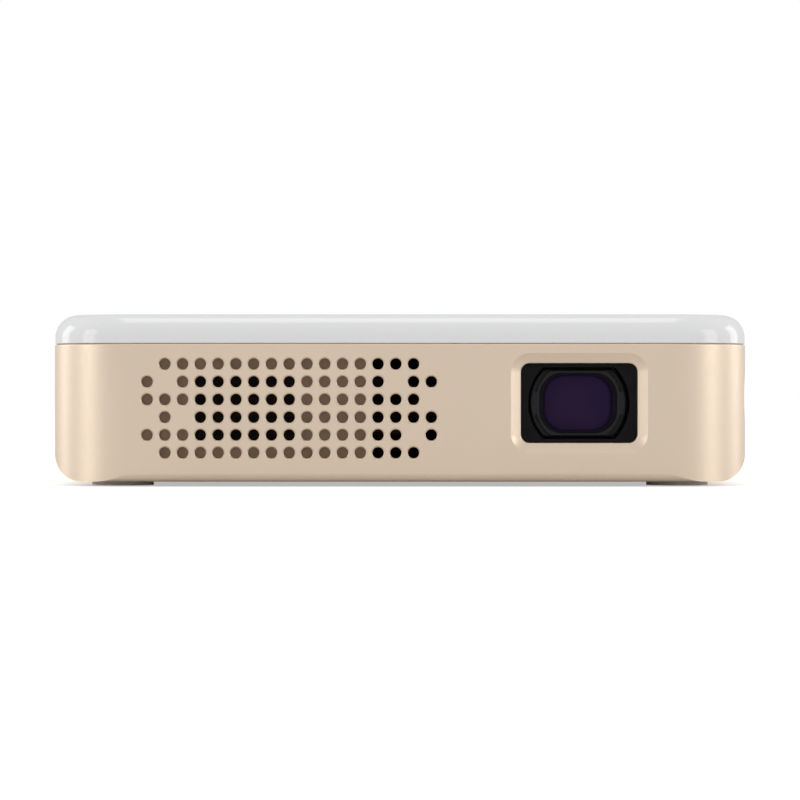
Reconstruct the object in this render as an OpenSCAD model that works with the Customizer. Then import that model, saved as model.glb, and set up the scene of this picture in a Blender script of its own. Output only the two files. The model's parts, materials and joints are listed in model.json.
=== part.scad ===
// Pocket projector. A tub of anodised aluminium under a glossy cap holds a small projection
// engine with a hand-turned focus wheel, a blower, a speaker, a battery and a main board.
// Frame: +Z up, the lens looks along -Y, millimetres. The origin lies on the table, under the
// middle of the tub.

/* [Body] */
// Width of the tub, side to side
body_w = 80; // [80:0.5:83]
// Length of the tub, front to back
body_l = 145; // [145:0.5:150]
// Height of the tub, from its underside to the seam
body_h = 15.7; // [15.7:0.1:16.5]
// Height of the glossy cap above the seam
cap_h = 3.4; // [3.2:0.1:4]
// Radius of the four upright corners
corner_r = 9.5; // [8.5:0.5:10.5]
// Radius of the two long lower edges
edge_r = 3.6; // [3:0.1:3.8]
// Radius of the two short lower edges
end_r = 1; // [0.6:0.1:1.2]
// Thickness of the tub's walls
wall = 1.5; // [1.4:0.1:1.5]
// Thickness of the tub's floor
floor_t = 1.4; // [1.2:0.1:1.4]
// How far the rubber feet stand out
foot_h = 0.5; // [0.4:0.1:0.8]

/* [Openings] */
// Spacing of the front grille's holes, both ways
grille_pitch = 2.02; // [1.9:0.01:2.05]
// Diameter of a grille hole
grille_hole_d = 1.3; // [1:0.1:1.4]
// Spacing of the vent slots in the left side and the back
vent_pitch = 2.03; // [1.9:0.01:2.1]
// Spacing of the taller vent slots in the right side
tall_vent_pitch = 2.24; // [2.1:0.01:2.3]
// Width of the lens window
window_w = 13.25; // [12.6:0.05:13.5]
// Height of the lens window
window_h = 9.05; // [8.8:0.05:9.2]

/* [Focus drive] */
// Radius of the focus wheel over its ribs
wheel_r = 5.7; // [5.4:0.05:5.8]
// Number of ribs round the focus wheel
wheel_ribs = 33; // [26:1:36]

/* [Blower] */
// Number of blades on the impeller
blades = 17; // [11:1:21]
// Radius of the impeller
impeller_r = 12.2; // [11:0.1:12.4]

/* [Hidden] */
$fn = 48;

// Colours
champagne = [0.83, 0.75, 0.66];
white_gloss = [0.96, 0.96, 0.96];
clear_rubber = [0.88, 0.88, 0.87];
black = [0.06, 0.06, 0.065];
graphite = [0.22, 0.22, 0.23];
steel = [0.78, 0.78, 0.77];
brass = [0.80, 0.66, 0.38];
copper = [0.78, 0.46, 0.32];
board_green = [0.07, 0.22, 0.16];
taupe = [0.42, 0.35, 0.29];
glass_violet = [0.20, 0.14, 0.30];
clear_glass = [0.80, 0.90, 0.95];
pouch_silver = [0.55, 0.56, 0.58];
ceramic = [0.50, 0.50, 0.55];
film_amber = [0.85, 0.60, 0.25];
phosphor = [0.95, 0.90, 0.40];
sleeve_colours = [[0.7, 0.1, 0.1], [0.1, 0.1, 0.1], [0.9, 0.8, 0.2]];

// Heights above the table
tub_z = foot_h;
floor_z = tub_z + floor_t;
seam_z = tub_z + body_h;
top_z = seam_z + cap_h;

// Outer faces, and the faces of the space inside
side_x = body_w / 2;
end_y = body_l / 2;
in_x = side_x - wall;
in_y = end_y - wall;
through = wall + 2;
inner_end_r = 0.2;
slack = 0.15;

// Front: grille and lens window
grille_cols = 17;
grille_rows = 6;
grille_x = -12.6;
grille_z = tub_z + 8.35;
// Places in the grid, as column and row from the top left, that have no hole
grille_blanks = [
    [0, 0], [16, 0], [1, 1], [14, 1], [16, 2], [0, 3], [2, 3], [15, 4], [0, 5], [16, 5]
];
lens_x = 20.4;
lens_z = tub_z + 8.95;
window_flare = 1.2;
window_flare_depth = 0.6;

// Left side (+X): vents and focus wheel
left_vents = 10;
left_vent_y = -34.5;
left_vent_z = tub_z + 9.67;
slot_w = 1.2;
slot_l = 3.3;
wheel_y = -56.5;
wheel_z = tub_z + 9.7;
wheel_x = side_x - 0.35 - wheel_r;
wheel_slot_l = 8.65;
wheel_slot_w = 3.6;
dish_l = 17.7;
dish_w = 8.2;
dish_flare = 1.2;
dish_depth = 0.9;

// Right side (-X): sockets, power button and vents
hdmi_y = 43.4;
hdmi_z = tub_z + 5.6;
usb_a_y = 16.9;
usb_a_z = tub_z + 8;
button_y = -6.2;
button_z = tub_z + 8.45;
button_l = 10.8;
button_w = 4.7;
button_gap = 0.1;
right_vents = 13;
right_vent_y = -45.8;
right_vent_z = tub_z + 8.46;
tall_slot_w = 1.4;
tall_slot_l = 5.45;

// Back: vents, reset hole, charging socket and headphone jack
rear_vents = 8;
rear_vent_x = 19.7;
rear_vent_z = tub_z + 9.4;
reset_x = 10.2;
reset_z = tub_z + 10.3;
usb_c_x = 0;
usb_c_z = tub_z + 9.2;
jack_x = -18.5;
jack_z = tub_z + 9.9;
jack_hole_r = 2.65;

// Underside: feet and tripod socket
foot_r = 3.55;
foot_inset_x = 8;
foot_inset_y = 7.7;
foot_sink = 0.5;
insert_y = -20;
insert_r = 4.5;
tripod_r = 3.2;
tripod_depth = 5.5;

// Main board
board_z = tub_z + 11.5;
board_t = 1;
board_y0 = -16;
board_y1 = in_y - 0.8;
post_r = 2.2;
screw_r = 0.8;
// Posts of the battery tray that the main board is screwed to
board_posts = [
    [in_x - 3.2, -11], [in_x - 3.2, 30], [in_x - 3.2, 61],
    [-in_x + 4, 5], [-in_x + 4, 29.7], [-in_x + 4, 60]
];
// Screws that hold the battery tray to the tub's floor
tray_screw_places = [[28, 66], [-28, 66], [28, -13.3], [-28, -13.3]];

// Battery
battery_x0 = -23.5;
battery_x1 = 32.3;
battery_y0 = -10.5;
battery_y1 = 54;
battery_z0 = floor_z + 0.8;
battery_t = 7.6;

// Projection engine
engine_x0 = 6;
engine_x1 = 31;
engine_y0 = -48;
engine_y1 = -25;
engine_z0 = floor_z + 0.5;
engine_z1 = seam_z - 1.6;
engine_wall = 1.4;
tube_r = 7;
tube_front_y = -end_y + 6.5;
barrel_r = 5.5;
front_bore_r = 4.3;
front_bore_flat = 3.45;
middle_bore_r = 4.4;
rear_bore_r = 4.8;
middle_shoulder_y = -62.2;
rear_shoulder_y = -55;
barrel_front_y = -end_y + 3.3;
barrel_rear_y = -51.5;
barrel_flat = 3.8;
retainer_t = 0.8;
running = 0.08;
hood_depth = tube_front_y + end_y;
front_foot_x = 7.2;
front_foot_y = -62.8;
rear_foot_x = 9;
rear_foot_y = -52;
// Ears that the engine is screwed to the floor by
engine_feet = [
    [lens_x - rear_foot_x, rear_foot_y],
    [lens_x + front_foot_x, front_foot_y],
    [lens_x - front_foot_x, front_foot_y]
];
ear_t = 2;

// Focus pinion and rack
gear_module = 0.4;
pinion_teeth = 12;
pressure_angle = 20;
tooth_pitch = PI * gear_module;
pinion_r = gear_module * pinion_teeth / 2;
addendum = 0.8 * gear_module;
dedendum = 1.25 * gear_module;
backlash = 0.06;
pinion_z0 = wheel_z - 4.2;
wheel_t = 2.8;
wheel_z0 = wheel_z - wheel_t / 2;
rack_x = wheel_x - pinion_r;
rack_teeth = 7;
rib_r = 0.3;
rack_z0 = pinion_z0 + 0.3;
rack_t = 2.1;
shaft_r = 1;

// Blower
fan_x0 = -28.4;
fan_x1 = 0.6;
fan_y0 = -63;
fan_y1 = -27.5;
fan_z0 = floor_z + 1.3;
fan_z1 = fan_z0 + 9;
fan_wall = 1;
rotor_x = -13.6;
rotor_y = -45.5;
hub_r = 6;
bearing_r = 1.7;
rotor_shaft_r = 0.8;
fan_screw_places = [
    [fan_x1 - 2.2, fan_y0 + 2.2],
    [fan_x1 - 2.2, fan_y1 - 2.2],
    [fan_x0 + 2.4, fan_y0 + 1.7]
];

// ---------------------------------------------------------------- helpers

// A box between two corners
module block(low, high) translate(low) cube(high - low);

// A rounded rectangle about the origin
module rounded_rect(w, l, r) {
    square([w - 2 * r, l], center = true);
    square([w, l - 2 * r], center = true);
    for (sx = [-1, 1], sy = [-1, 1])
        translate([sx * (w / 2 - r), sy * (l / 2 - r)]) circle(r);
}

// A slot with round ends, along local X
module slot(l, w) {
    square([l - w, w], center = true);
    for (s = [-1, 1]) translate([s * (l - w) / 2, 0]) circle(w / 2);
}

// These put children on a wall's outer face: local Z points out of the wall
module on_front(x, z) translate([x, -end_y, z]) rotate([90, 0, 0]) children();
module on_rear(x, z) translate([x, end_y, z]) rotate([90, 0, 180]) children();
module on_left(y, z) translate([side_x, y, z]) rotate([90, 0, 90]) children();
module on_right(y, z) translate([-side_x, y, z]) rotate([90, 0, -90]) children();

// Cuts a wall right through along local Z with a flat outline
module pierce() translate([0, 0, -wall - 1]) linear_extrude(through) children();

// A recess that widens outwards: w by l with corner radius r at its floor, and wider by
// flare all round at the face
module flared_recess(w, l, r, flare, depth) {
    over = 0.2;
    rise = depth + over;
    spread = flare * rise / depth;
    translate([0, 0, -depth]) {
        for (sx = [-1, 1], sy = [-1, 1])
            translate([sx * (w / 2 - r), sy * (l / 2 - r), 0])
                cylinder(h = rise, r1 = r, r2 = r + spread);
        flared_bar(w - 2 * r, l, spread, rise);
        if (l > 2 * r + 0.01) rotate([0, 0, 90]) flared_bar(l - 2 * r, w, spread, rise);
    }
}

// A straight stretch of a flared recess, along local X
module flared_bar(length, width, spread, rise)
    rotate([90, 0, 90]) translate([0, 0, -length / 2]) linear_extrude(length)
        polygon([
            [-width / 2, 0], [width / 2, 0],
            [width / 2 + spread, rise], [-width / 2 - spread, rise]
        ]);

// A row of places along local X, about the origin
module row(count, pitch)
    for (i = [0:count - 1]) translate([(i - (count - 1) / 2) * pitch, 0, 0]) children();

// A small pan-head screw that points down, with the underside of its head at the origin
module screw(length) {
    translate([0, 0, -length]) cylinder(h = length + 0.1, r = screw_r, $fn = 24);
    difference() {
        cylinder(h = 0.9, r = 1.6, $fn = 24);
        translate([0, 0, 0.4]) cylinder(h = 1, r = 0.7, $fn = 6);
    }
}

// Points on a smooth curve through the given ones
function curve_point(p, i, t) =
    let (
        a = p[max(i - 1, 0)], b = p[i], c = p[i + 1], d = p[min(i + 2, len(p) - 1)]
    )
    0.5 * (2 * b + t * (c - a) + t * t * (2 * a - 5 * b + 4 * c - d)
        + t * t * t * (3 * b - a - 3 * c + d));
function smooth_path(p, steps) = concat(
    [for (i = [0:len(p) - 2], s = [0:steps - 1]) curve_point(p, i, s / steps)],
    [p[len(p) - 1]]
);
function unit(v) = v / norm(v);
function heading(p, i) = unit(p[min(i + 1, len(p) - 1)] - p[max(i - 1, 0)]);

// A round wire along a list of points
module wire(points, r, sides = 8) {
    path = smooth_path(points, 4);
    rings = [
        for (i = [0:len(path) - 1])
            let (
                t = heading(path, i),
                u = unit(cross(t, abs(t.z) < 0.9 ? [0, 0, 1] : [1, 0, 0])),
                v = cross(u, t)
            )
            [
                for (k = [0:sides - 1])
                    let (a = k * 360 / sides) path[i] + r * (cos(a) * u + sin(a) * v)
            ]
    ];
    last = len(path) - 1;
    polyhedron(
        points = [for (ring = rings, q = ring) q],
        faces = concat(
            [[for (k = [0:sides - 1]) sides - 1 - k]],
            [for (i = [0:last - 1], k = [0:sides - 1])
                let (n = (k + 1) % sides)
                [i * sides + k, i * sides + n, (i + 1) * sides + n, (i + 1) * sides + k]],
            [[for (k = [0:sides - 1]) last * sides + k]]
        )
    );
}

// ---------------------------------------------------------------- tub and cap

// The tub's outline in plan, cut by its cross-section and by its lengthwise section
module tub_block(inset, z0, z1, plan_r, side_r, front_r) intersection() {
    translate([0, 0, z0]) linear_extrude(z1 - z0)
        rounded_rect(body_w - 2 * inset, body_l - 2 * inset, plan_r);
    rotate([90, 0, 0]) translate([0, 0, -body_l]) linear_extrude(2 * body_l)
        round_bottomed(body_w - 2 * inset, z0, z1, side_r);
    rotate([90, 0, 90]) translate([0, 0, -body_w]) linear_extrude(2 * body_w)
        round_bottomed(body_l - 2 * inset, z0, z1, front_r);
}

// A section with its two lower corners rounded
module round_bottomed(w, z0, z1, r) {
    translate([-w / 2, z0 + r]) square([w, z1 - z0 - r]);
    translate([-w / 2 + r, z0]) square([w - 2 * r, z1 - z0]);
    for (s = [-1, 1]) translate([s * (w / 2 - r), z0 + r]) circle(r);
}

function is_blank(col, line) = len([for (b = grille_blanks) if (b == [col, line]) b]) > 0;

module grille_holes()
    for (col = [0:grille_cols - 1], line = [0:grille_rows - 1])
        if (!is_blank(col, line))
            on_front(
                grille_x + (col - (grille_cols - 1) / 2) * grille_pitch,
                grille_z - (line - (grille_rows - 1) / 2) * grille_pitch
            ) pierce() circle(grille_hole_d / 2, $fn = 24);

module upright_slots(count, pitch, w, l)
    row(count, pitch) pierce() rotate([0, 0, 90]) slot(l, w, $fn = 24);

// The outline of the HDMI socket, grown by g: the wide side is down
module hdmi_outline(g) polygon([
    [-7.5 - g, -g], [7.5 + g, -g], [7.5 + g, 4.15 + g], [6.45 + g, 4.35 + g],
    [5.2 + g * 0.6, 5.9 + g], [-5.2 - g * 0.6, 5.9 + g], [-6.45 - g, 4.35 + g],
    [-7.5 - g, 4.15 + g]
]);

usb_a_w = 13.1;
usb_a_h = 5.8;
usb_c_w = 8.94;
usb_c_h = 3.2;

module tub_openings() {
    grille_holes();
    on_front(lens_x, lens_z) {
        pierce() rounded_rect(window_w, window_h, 1);
        flared_recess(window_w, window_h, 1, window_flare, window_flare_depth);
    }
    on_left(left_vent_y, left_vent_z) upright_slots(left_vents, vent_pitch, slot_w, slot_l);
    on_left(wheel_y, wheel_z) {
        flared_recess(
            dish_l - 2 * dish_flare, dish_w - 2 * dish_flare,
            dish_w / 2 - dish_flare, dish_flare, dish_depth
        );
        pierce() square([wheel_slot_l, wheel_slot_w], center = true);
    }
    on_right(right_vent_y, right_vent_z)
        upright_slots(right_vents, tall_vent_pitch, tall_slot_w, tall_slot_l);
    on_right(hdmi_y, hdmi_z) pierce() hdmi_outline(0.4);
    on_right(usb_a_y, usb_a_z) pierce() rounded_rect(usb_a_w + 0.8, usb_a_h + 0.8, 0.7);
    on_right(button_y, button_z) {
        flared_recess(button_l + 1.3, button_w + 2.1, (button_w + 2.1) / 2, 0.4, 0.45);
        pierce() slot(button_l + 2 * button_gap, button_w + 2 * button_gap);
    }
    on_rear(rear_vent_x, rear_vent_z)
        upright_slots(rear_vents, vent_pitch, slot_w, slot_l - 0.1);
    on_rear(reset_x, reset_z) pierce() circle(0.7, $fn = 24);
    on_rear(usb_c_x, usb_c_z) {
        pierce() slot(usb_c_w + 0.1, usb_c_h + 0.1);
        flared_recess(usb_c_w + 0.1, usb_c_h + 0.1, usb_c_h / 2 + 0.05, 0.45, 0.45);
    }
    on_rear(jack_x, jack_z) pierce() circle(jack_hole_r);
}

foot_places = [
    for (sy = [-1, 1], sx = [1, -1]) [sx * (side_x - foot_inset_x), sy * (end_y - foot_inset_y)]
];

// Hooks of the cap catch in grooves in the tub's long walls
hook_l = 8;
hook_places = [for (y = [-44, 0, 44], s = [-1, 1]) [s, y]];
hook_z = seam_z - 1;

// Bosses on the floor that the blower is screwed to
module fan_bosses() for (p = fan_screw_places) translate([p.x, p.y, floor_z - 0.2]) difference() {
    cylinder(h = fan_z0 - floor_z + 0.2, r = 2, $fn = 32);
    translate([0, 0, 0.2]) cylinder(h = 4, r = screw_r + 0.05, $fn = 24);
}

module tub() color(champagne) {
    tub_shell();
    fan_bosses();
}

module tub_shell() difference() {
    tub_block(0, tub_z, seam_z, corner_r, edge_r, end_r);
    tub_block(wall, floor_z, seam_z + 1, corner_r - wall, edge_r - wall, inner_end_r);
    tub_openings();
    for (p = foot_places)
        translate([p.x, p.y, tub_z - 1]) cylinder(h = 1 + foot_sink, r = foot_r + slack);
    translate([0, insert_y, 0]) cylinder(h = floor_z + 1, r = insert_r + 0.05);
    for (p = concat(tray_screw_places, engine_feet))
        translate([p.x, p.y, floor_z - 0.95]) cylinder(h = 2, r = screw_r + 0.05, $fn = 24);
    for (h = hook_places)
        translate([h[0] * in_x, h[1], hook_z])
            cube([0.9, hook_l + 1, 1.1], center = true);
}

cap_gap = 0.15;
cap_inset = 0.1;
cap_r = 2.5;
cap_t = 1.6;
lip_drop = 1.5;
lip_t = 1.2;

// A quarter of a rounded edge: a square whose outer upper corner is rounded, from x = 0 to w
module rounded_edge(w) {
    square([w - cap_r, cap_r]);
    translate([w - cap_r, 0]) intersection() {
        circle(cap_r);
        square(cap_r);
    }
}

// The cap's outside: a slab whose upper edge is rounded
module cap_block() {
    w = body_w - 2 * cap_inset;
    l = body_l - 2 * cap_inset;
    edge_z = top_z - cap_r;
    translate([0, 0, seam_z + cap_gap]) linear_extrude(edge_z - seam_z - cap_gap)
        rounded_rect(w, l, corner_r);
    translate([0, 0, edge_z]) {
        for (s = [0, 1]) mirror([s, 0, 0]) rotate([90, 0, 0])
            translate([0, 0, -l / 2 + corner_r]) linear_extrude(l - 2 * corner_r)
                rounded_edge(w / 2);
        for (s = [0, 1]) mirror([0, s, 0]) rotate([90, 0, 90])
            translate([0, 0, -w / 2 + corner_r]) linear_extrude(w - 2 * corner_r)
                rounded_edge(l / 2);
        for (sx = [-1, 1], sy = [-1, 1])
            translate([sx * (w / 2 - corner_r), sy * (l / 2 - corner_r), 0])
                rotate_extrude() rounded_edge(corner_r);
    }
}

module top_cap() color(white_gloss) {
    under_z = top_z - cap_t;
    difference() {
        cap_block();
        translate([0, 0, seam_z]) linear_extrude(under_z - seam_z)
            rounded_rect(
                2 * in_x - 2 * slack - 2 * lip_t, 2 * in_y - 2 * slack - 2 * lip_t,
                corner_r - wall - slack - lip_t
            );
    }
    difference() {
        translate([0, 0, seam_z - lip_drop]) linear_extrude(lip_drop + cap_gap)
            rounded_rect(2 * in_x - 2 * slack, 2 * in_y - 2 * slack, corner_r - wall - slack);
        translate([0, 0, seam_z - lip_drop - 1]) linear_extrude(lip_drop + cap_gap + 2)
            rounded_rect(
                2 * in_x - 2 * slack - 2 * lip_t, 2 * in_y - 2 * slack - 2 * lip_t,
                corner_r - wall - slack - lip_t
            );
    }
    for (h = hook_places)
        translate([h[0] * (in_x - slack), h[1], hook_z]) cube([0.7, hook_l, 0.7], center = true);
}

module foot(i) color(clear_rubber)
    translate([foot_places[i].x, foot_places[i].y, 0]) cylinder(h = tub_z + foot_sink, r = foot_r);

module tripod_insert() color(brass) translate([0, insert_y, 0]) difference() {
    union() {
        translate([0, 0, tub_z]) cylinder(h = tripod_depth + 0.7, r = insert_r);
        translate([0, 0, floor_z]) cylinder(h = 1, r = 6);
    }
    translate([0, 0, tub_z - 1]) cylinder(h = tripod_depth + 1, r = tripod_r);
}

// ---------------------------------------------------------------- battery and board

module battery_tray() color(graphite) difference() {
    union() {
        block([-35.5, -15, floor_z], [35.5, in_y - 1.5, floor_z + 0.8]);
        // Walls round the battery
        difference() {
            block(
                [battery_x0 - 1.2, battery_y0 - 1.2, floor_z],
                [battery_x1 + 0.6, battery_y1 + 1.2, floor_z + 5]
            );
            block(
                [battery_x0 - 0.1, battery_y0 - 0.1, floor_z - 1],
                [battery_x1 + 0.1, battery_y1 + 0.1, floor_z + 6]
            );
        }
        for (p = board_posts)
            translate([p.x, p.y, floor_z + 0.4])
                cylinder(h = board_z - floor_z - 0.4, r = post_r, $fn = 32);
    }
    // Windows that let the battery swell, and the screw holes
    block([battery_x0 + 6, battery_y0 + 6, 0], [battery_x1 - 6, battery_y1 - 6, battery_z0]);
    for (p = board_posts)
        translate([p.x, p.y, board_z - 4]) cylinder(h = 5, r = screw_r + 0.05, $fn = 24);
    for (p = tray_screw_places)
        translate([p.x, p.y, floor_z - 1]) cylinder(h = 4, r = screw_r + 0.1, $fn = 24);
    translate([0, insert_y, 0]) cylinder(h = 8, r = 6.3);
    // Rear corners clear the tub's rounded corners
    for (s = [-1, 1]) translate([s * 36, in_y - 1, floor_z]) cylinder(h = 4, r = 7, center = true);
}

module battery_pack() color(pouch_silver)
    translate([(battery_x0 + battery_x1) / 2, (battery_y0 + battery_y1) / 2, battery_z0])
        linear_extrude(battery_t)
            rounded_rect(battery_x1 - battery_x0, battery_y1 - battery_y0, 2.5);

module battery_leads() {
    for (i = [0:2]) color(sleeve_colours[i])
        wire([
            [-12 + 1.6 * i, battery_y0 - 1.6, 8], [-12 + 1.6 * i, battery_y0 - 3, 8.4],
            [-12.5 + 1.5 * i, battery_y0 - 4, 9.6], [-13 + 1.4 * i, battery_y0 - 4.3, board_z - 0.6]
        ], 0.5);
}

module main_board() color(board_green) difference() {
    translate([0, (board_y0 + board_y1) / 2, board_z]) linear_extrude(board_t)
        rounded_rect(2 * in_x - 1.6, board_y1 - board_y0, 6.5);
    for (p = board_posts)
        translate([p.x, p.y, board_z - 1]) cylinder(h = 3, r = screw_r + 0.1, $fn = 24);
    block([jack_x - 3.4, board_y1 - 12.9, 0], [jack_x + 3.4, end_y, 20]);
}

chip_z = board_z + board_t;

// A part soldered on top of the main board: near corner, width, length and height
module chip(x, y, w, l, h) translate([x, y, chip_z]) cube([w, l, h]);

// Main processor, memories, power stages, radio module and their small parts
module board_chips() {
    color(black) {
        chip(-8, 22, 16, 16, 1.2);
        chip(17, 24, 10, 10, 1);
        chip(-27, 8, 8, 8, 0.9);
        for (x = [-8, 4], y = [42, 51]) chip(x, y, 9, 7, 0.9);
    }
    color(graphite) for (i = [0:4]) chip(-26 + 7.5 * i, -8, 5, 5, 2);
    color(steel) chip(17, 44, 13, 14, 1.6);
    color(brass) for (i = [0:11]) chip(-25 + 4 * i, 1, 1, 1, 0.6);
}

module heat_spreader() color(steel) {
    block([-11, 19, chip_z + 1.2], [11, 40.6, chip_z + 2]);
    for (x = [-11, 10.4]) block([x, 19, chip_z], [x + 0.6, 40.6, chip_z + 1.2]);
}

module board_screws() color(steel)
    for (p = board_posts) translate([p.x, p.y, chip_z]) screw(4);

module tray_screws() color(steel)
    for (p = tray_screw_places) translate([p.x, p.y, floor_z + 0.8]) screw(1.7);

// ---------------------------------------------------------------- projection engine

module lens_axis() translate([lens_x, 0, lens_z]) rotate([90, 0, 0]) children();

// A cylinder about the lens axis from y0 to y1, where y0 is nearer the front
module lens_cylinder(y0, y1, r) lens_axis() translate([0, 0, -y1]) cylinder(h = y1 - y0, r = r);

module engine_housing() color(graphite) difference() {
    union() {
        difference() {
            block([engine_x0, engine_y0, engine_z0], [engine_x1, engine_y1, engine_z1]);
            block(
                [engine_x0 + engine_wall, engine_y0 + engine_wall, engine_z0 + engine_wall],
                [engine_x1 - engine_wall, engine_y1 - engine_wall, engine_z1 + 1]
            );
        }
        lens_cylinder(tube_front_y, engine_y0 + 0.2, tube_r);
        // Two straps under the tube, with the ears that the engine is screwed down by
        for (p = engine_feet) translate([p.x, p.y, floor_z]) cylinder(h = ear_t, r = post_r);
        block(
            [lens_x - front_foot_x, front_foot_y - post_r, floor_z],
            [lens_x + front_foot_x, front_foot_y + post_r, floor_z + ear_t]
        );
        block(
            [lens_x - rear_foot_x, rear_foot_y - post_r, floor_z],
            [lens_x + 2, rear_foot_y + post_r, floor_z + ear_t]
        );
    }
    lens_cylinder(tube_front_y - 1, engine_y0 + 5, barrel_r + running);
    // The window for the mirror chip, and one in each side for the LEDs
    block([14.2, engine_y1 - 3, 5.2], [26.6, engine_y1 + 1, 13.6]);
    for (x = [engine_x0, engine_x1]) block([x - 2, -42, 6], [x + 2, -33, 13]);
    // The slot that the focus rack's arm moves in
    block(
        [lens_x + 3, wheel_y - 3.9, rack_z0 - 0.4],
        [lens_x + 9, wheel_y + 3.9, rack_z0 + rack_t + 0.4]
    );
    for (p = engine_feet)
        translate([p.x, p.y, floor_z - 1]) cylinder(h = 4, r = screw_r + 0.1, $fn = 24);
}

// The lid stops short of the tube, which stands above the box
module engine_lid() color(graphite)
    block([engine_x0, engine_y0 + 0.3, engine_z1], [engine_x1, engine_y1, engine_z1 + 0.8]);

module engine_screws() color(steel)
    for (p = engine_feet) translate([p.x, p.y, floor_z + ear_t]) screw(2.9);

// The black frame between the window and the barrel
module lens_hood() color(black)
    on_front(lens_x, lens_z) translate([0, 0, 0.05 - hood_depth])
        linear_extrude(hood_depth - wall - 0.1) difference() {
            rounded_rect(17, 10.4, 1.5);
            barrel_flats(barrel_r + 0.3, barrel_flat + 0.3);
        }

// The barrel's cross-section: round, with a flat above and below at the front
module barrel_flats(r, flat) intersection() {
    circle(r);
    square([3 * r, 2 * flat], center = true);
}

// A cylinder about the lens axis with a flat above and below
module flatted_cylinder(y0, y1, r, flat)
    lens_axis() translate([0, 0, -y1]) linear_extrude(y1 - y0) barrel_flats(r, flat);

// Bored in three steps, each with a shoulder that a lens rests on
module lens_barrel() color(black) {
    difference() {
        lens_cylinder(barrel_front_y + retainer_t, barrel_rear_y, barrel_r);
        for (s = [-1, 1]) translate([lens_x, barrel_front_y, lens_z + s * (barrel_flat + 5)])
            cube([4 * barrel_r, 10, 10], center = true);
        flatted_cylinder(barrel_front_y - 1, middle_shoulder_y + 1, front_bore_r, front_bore_flat);
        lens_cylinder(middle_shoulder_y, rear_shoulder_y + 1, middle_bore_r);
        lens_cylinder(rear_shoulder_y, barrel_rear_y + 1, rear_bore_r);
    }
    focus_rack();
}

// The arm and rack that the focus pinion drives, on the barrel's left side
module focus_rack() {
    difference() {
        block(
            [lens_x + 3.9, wheel_y - 2.2, rack_z0],
            [rack_x - dedendum - 1, wheel_y + 2.2, rack_z0 + rack_t]
        );
        lens_cylinder(wheel_y - 5, wheel_y + 5, barrel_r - 0.4);
    }
    block(
        [rack_x - dedendum - 1, wheel_y - rack_teeth / 2 * tooth_pitch, rack_z0],
        [rack_x - dedendum, wheel_y + rack_teeth / 2 * tooth_pitch, rack_z0 + rack_t]
    );
    translate([rack_x, wheel_y, rack_z0]) linear_extrude(rack_t)
        for (i = [-(rack_teeth - 1) / 2:(rack_teeth - 1) / 2])
            translate([0, i * tooth_pitch]) rack_tooth();
}

// One straight-sided rack tooth that points along +X
module rack_tooth() {
    half = tooth_pitch / 4 - backlash / 2;
    lean = tan(pressure_angle);
    polygon([
        [-dedendum - 0.05, -half - dedendum * lean], [addendum, -half + addendum * lean],
        [addendum, half - addendum * lean], [-dedendum - 0.05, half + dedendum * lean]
    ]);
}

// An involute tooth of the pinion, drawn about local +X
base_r = pinion_r * cos(pressure_angle);
function involute(r) = let (a = acos(min(1, base_r / r))) tan(a) * 180 / PI - a;
function flank(r, side) =
    let (
        half = 90 / pinion_teeth - backlash / 2 / pinion_r * 90 / PI,
        turn = half + involute(pinion_r) - involute(max(r, base_r))
    )
    [r * cos(side * turn), r * sin(side * turn)];
module pinion_tooth() {
    radii = [for (i = [0:5]) pinion_r - dedendum + 0.1 + i * (addendum + dedendum - 0.1) / 5];
    polygon(concat(
        [[pinion_r - dedendum - 0.2, -0.3]],
        [for (r = radii) flank(r, -1)],
        [for (i = [5:-1:0]) flank(radii[i], 1)],
        [[pinion_r - dedendum - 0.2, 0.3]]
    ));
}

module lens_retainer() color(graphite) lens_axis()
    translate([0, 0, -barrel_front_y - retainer_t]) linear_extrude(retainer_t) difference() {
        barrel_flats(barrel_r - 0.05, barrel_flat - 0.05);
        rounded_rect(8.05, 6.5, 2.4);
    }

// A lens of radius r and edge thickness t whose front and back are parts of spheres
module lens(front_y, t, r, bulge) {
    ball_r = (r * r + bulge * bulge) / (2 * bulge);
    color(glass_violet) lens_axis() translate([0, 0, -front_y - t]) intersection() {
        translate([0, 0, -bulge]) cylinder(h = t + 2 * bulge, r = r);
        translate([0, 0, t + bulge - ball_r]) sphere(ball_r, $fn = 96);
        translate([0, 0, ball_r - bulge]) sphere(ball_r, $fn = 96);
    }
}

// The front lens is cut flat above and below, like its seat
module front_lens() color(glass_violet) intersection() {
    lens(barrel_front_y + retainer_t + 0.55, 1.4, front_bore_r - 0.03, 0.5);
    flatted_cylinder(barrel_front_y, middle_shoulder_y, barrel_r, front_bore_flat - 0.03);
}
// The other two stand off their shoulders by as much as their faces bulge past them
module middle_lens() lens(middle_shoulder_y + 0.25, 1.2, middle_bore_r - 0.03, 0.6);
module rear_lens() lens(rear_shoulder_y + 0.12, 1.2, rear_bore_r - 0.03, 0.6);

module pinion_outline() difference() {
    union() {
        circle(pinion_r - dedendum);
        for (i = [0:pinion_teeth - 1]) rotate(180 + (i + 0.5) * 360 / pinion_teeth) pinion_tooth();
    }
    circle(shaft_r + 0.05);
}

module ribbed_outline() difference() {
    union() {
        circle(wheel_r - rib_r);
        for (i = [0:wheel_ribs - 1]) rotate(i * 360 / wheel_ribs)
            translate([wheel_r - rib_r, 0]) circle(rib_r, $fn = 16);
    }
    circle(shaft_r + 0.05);
}

module focus_wheel() color(black) translate([wheel_x, wheel_y, 0]) {
    translate([0, 0, wheel_z0]) linear_extrude(wheel_t) ribbed_outline();
    translate([0, 0, pinion_z0]) linear_extrude(wheel_z0 - pinion_z0 + 0.1) pinion_outline();
}

bracket_z0 = pinion_z0 - 1.1;
bracket_z1 = wheel_z0 + wheel_t + 0.1;

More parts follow.
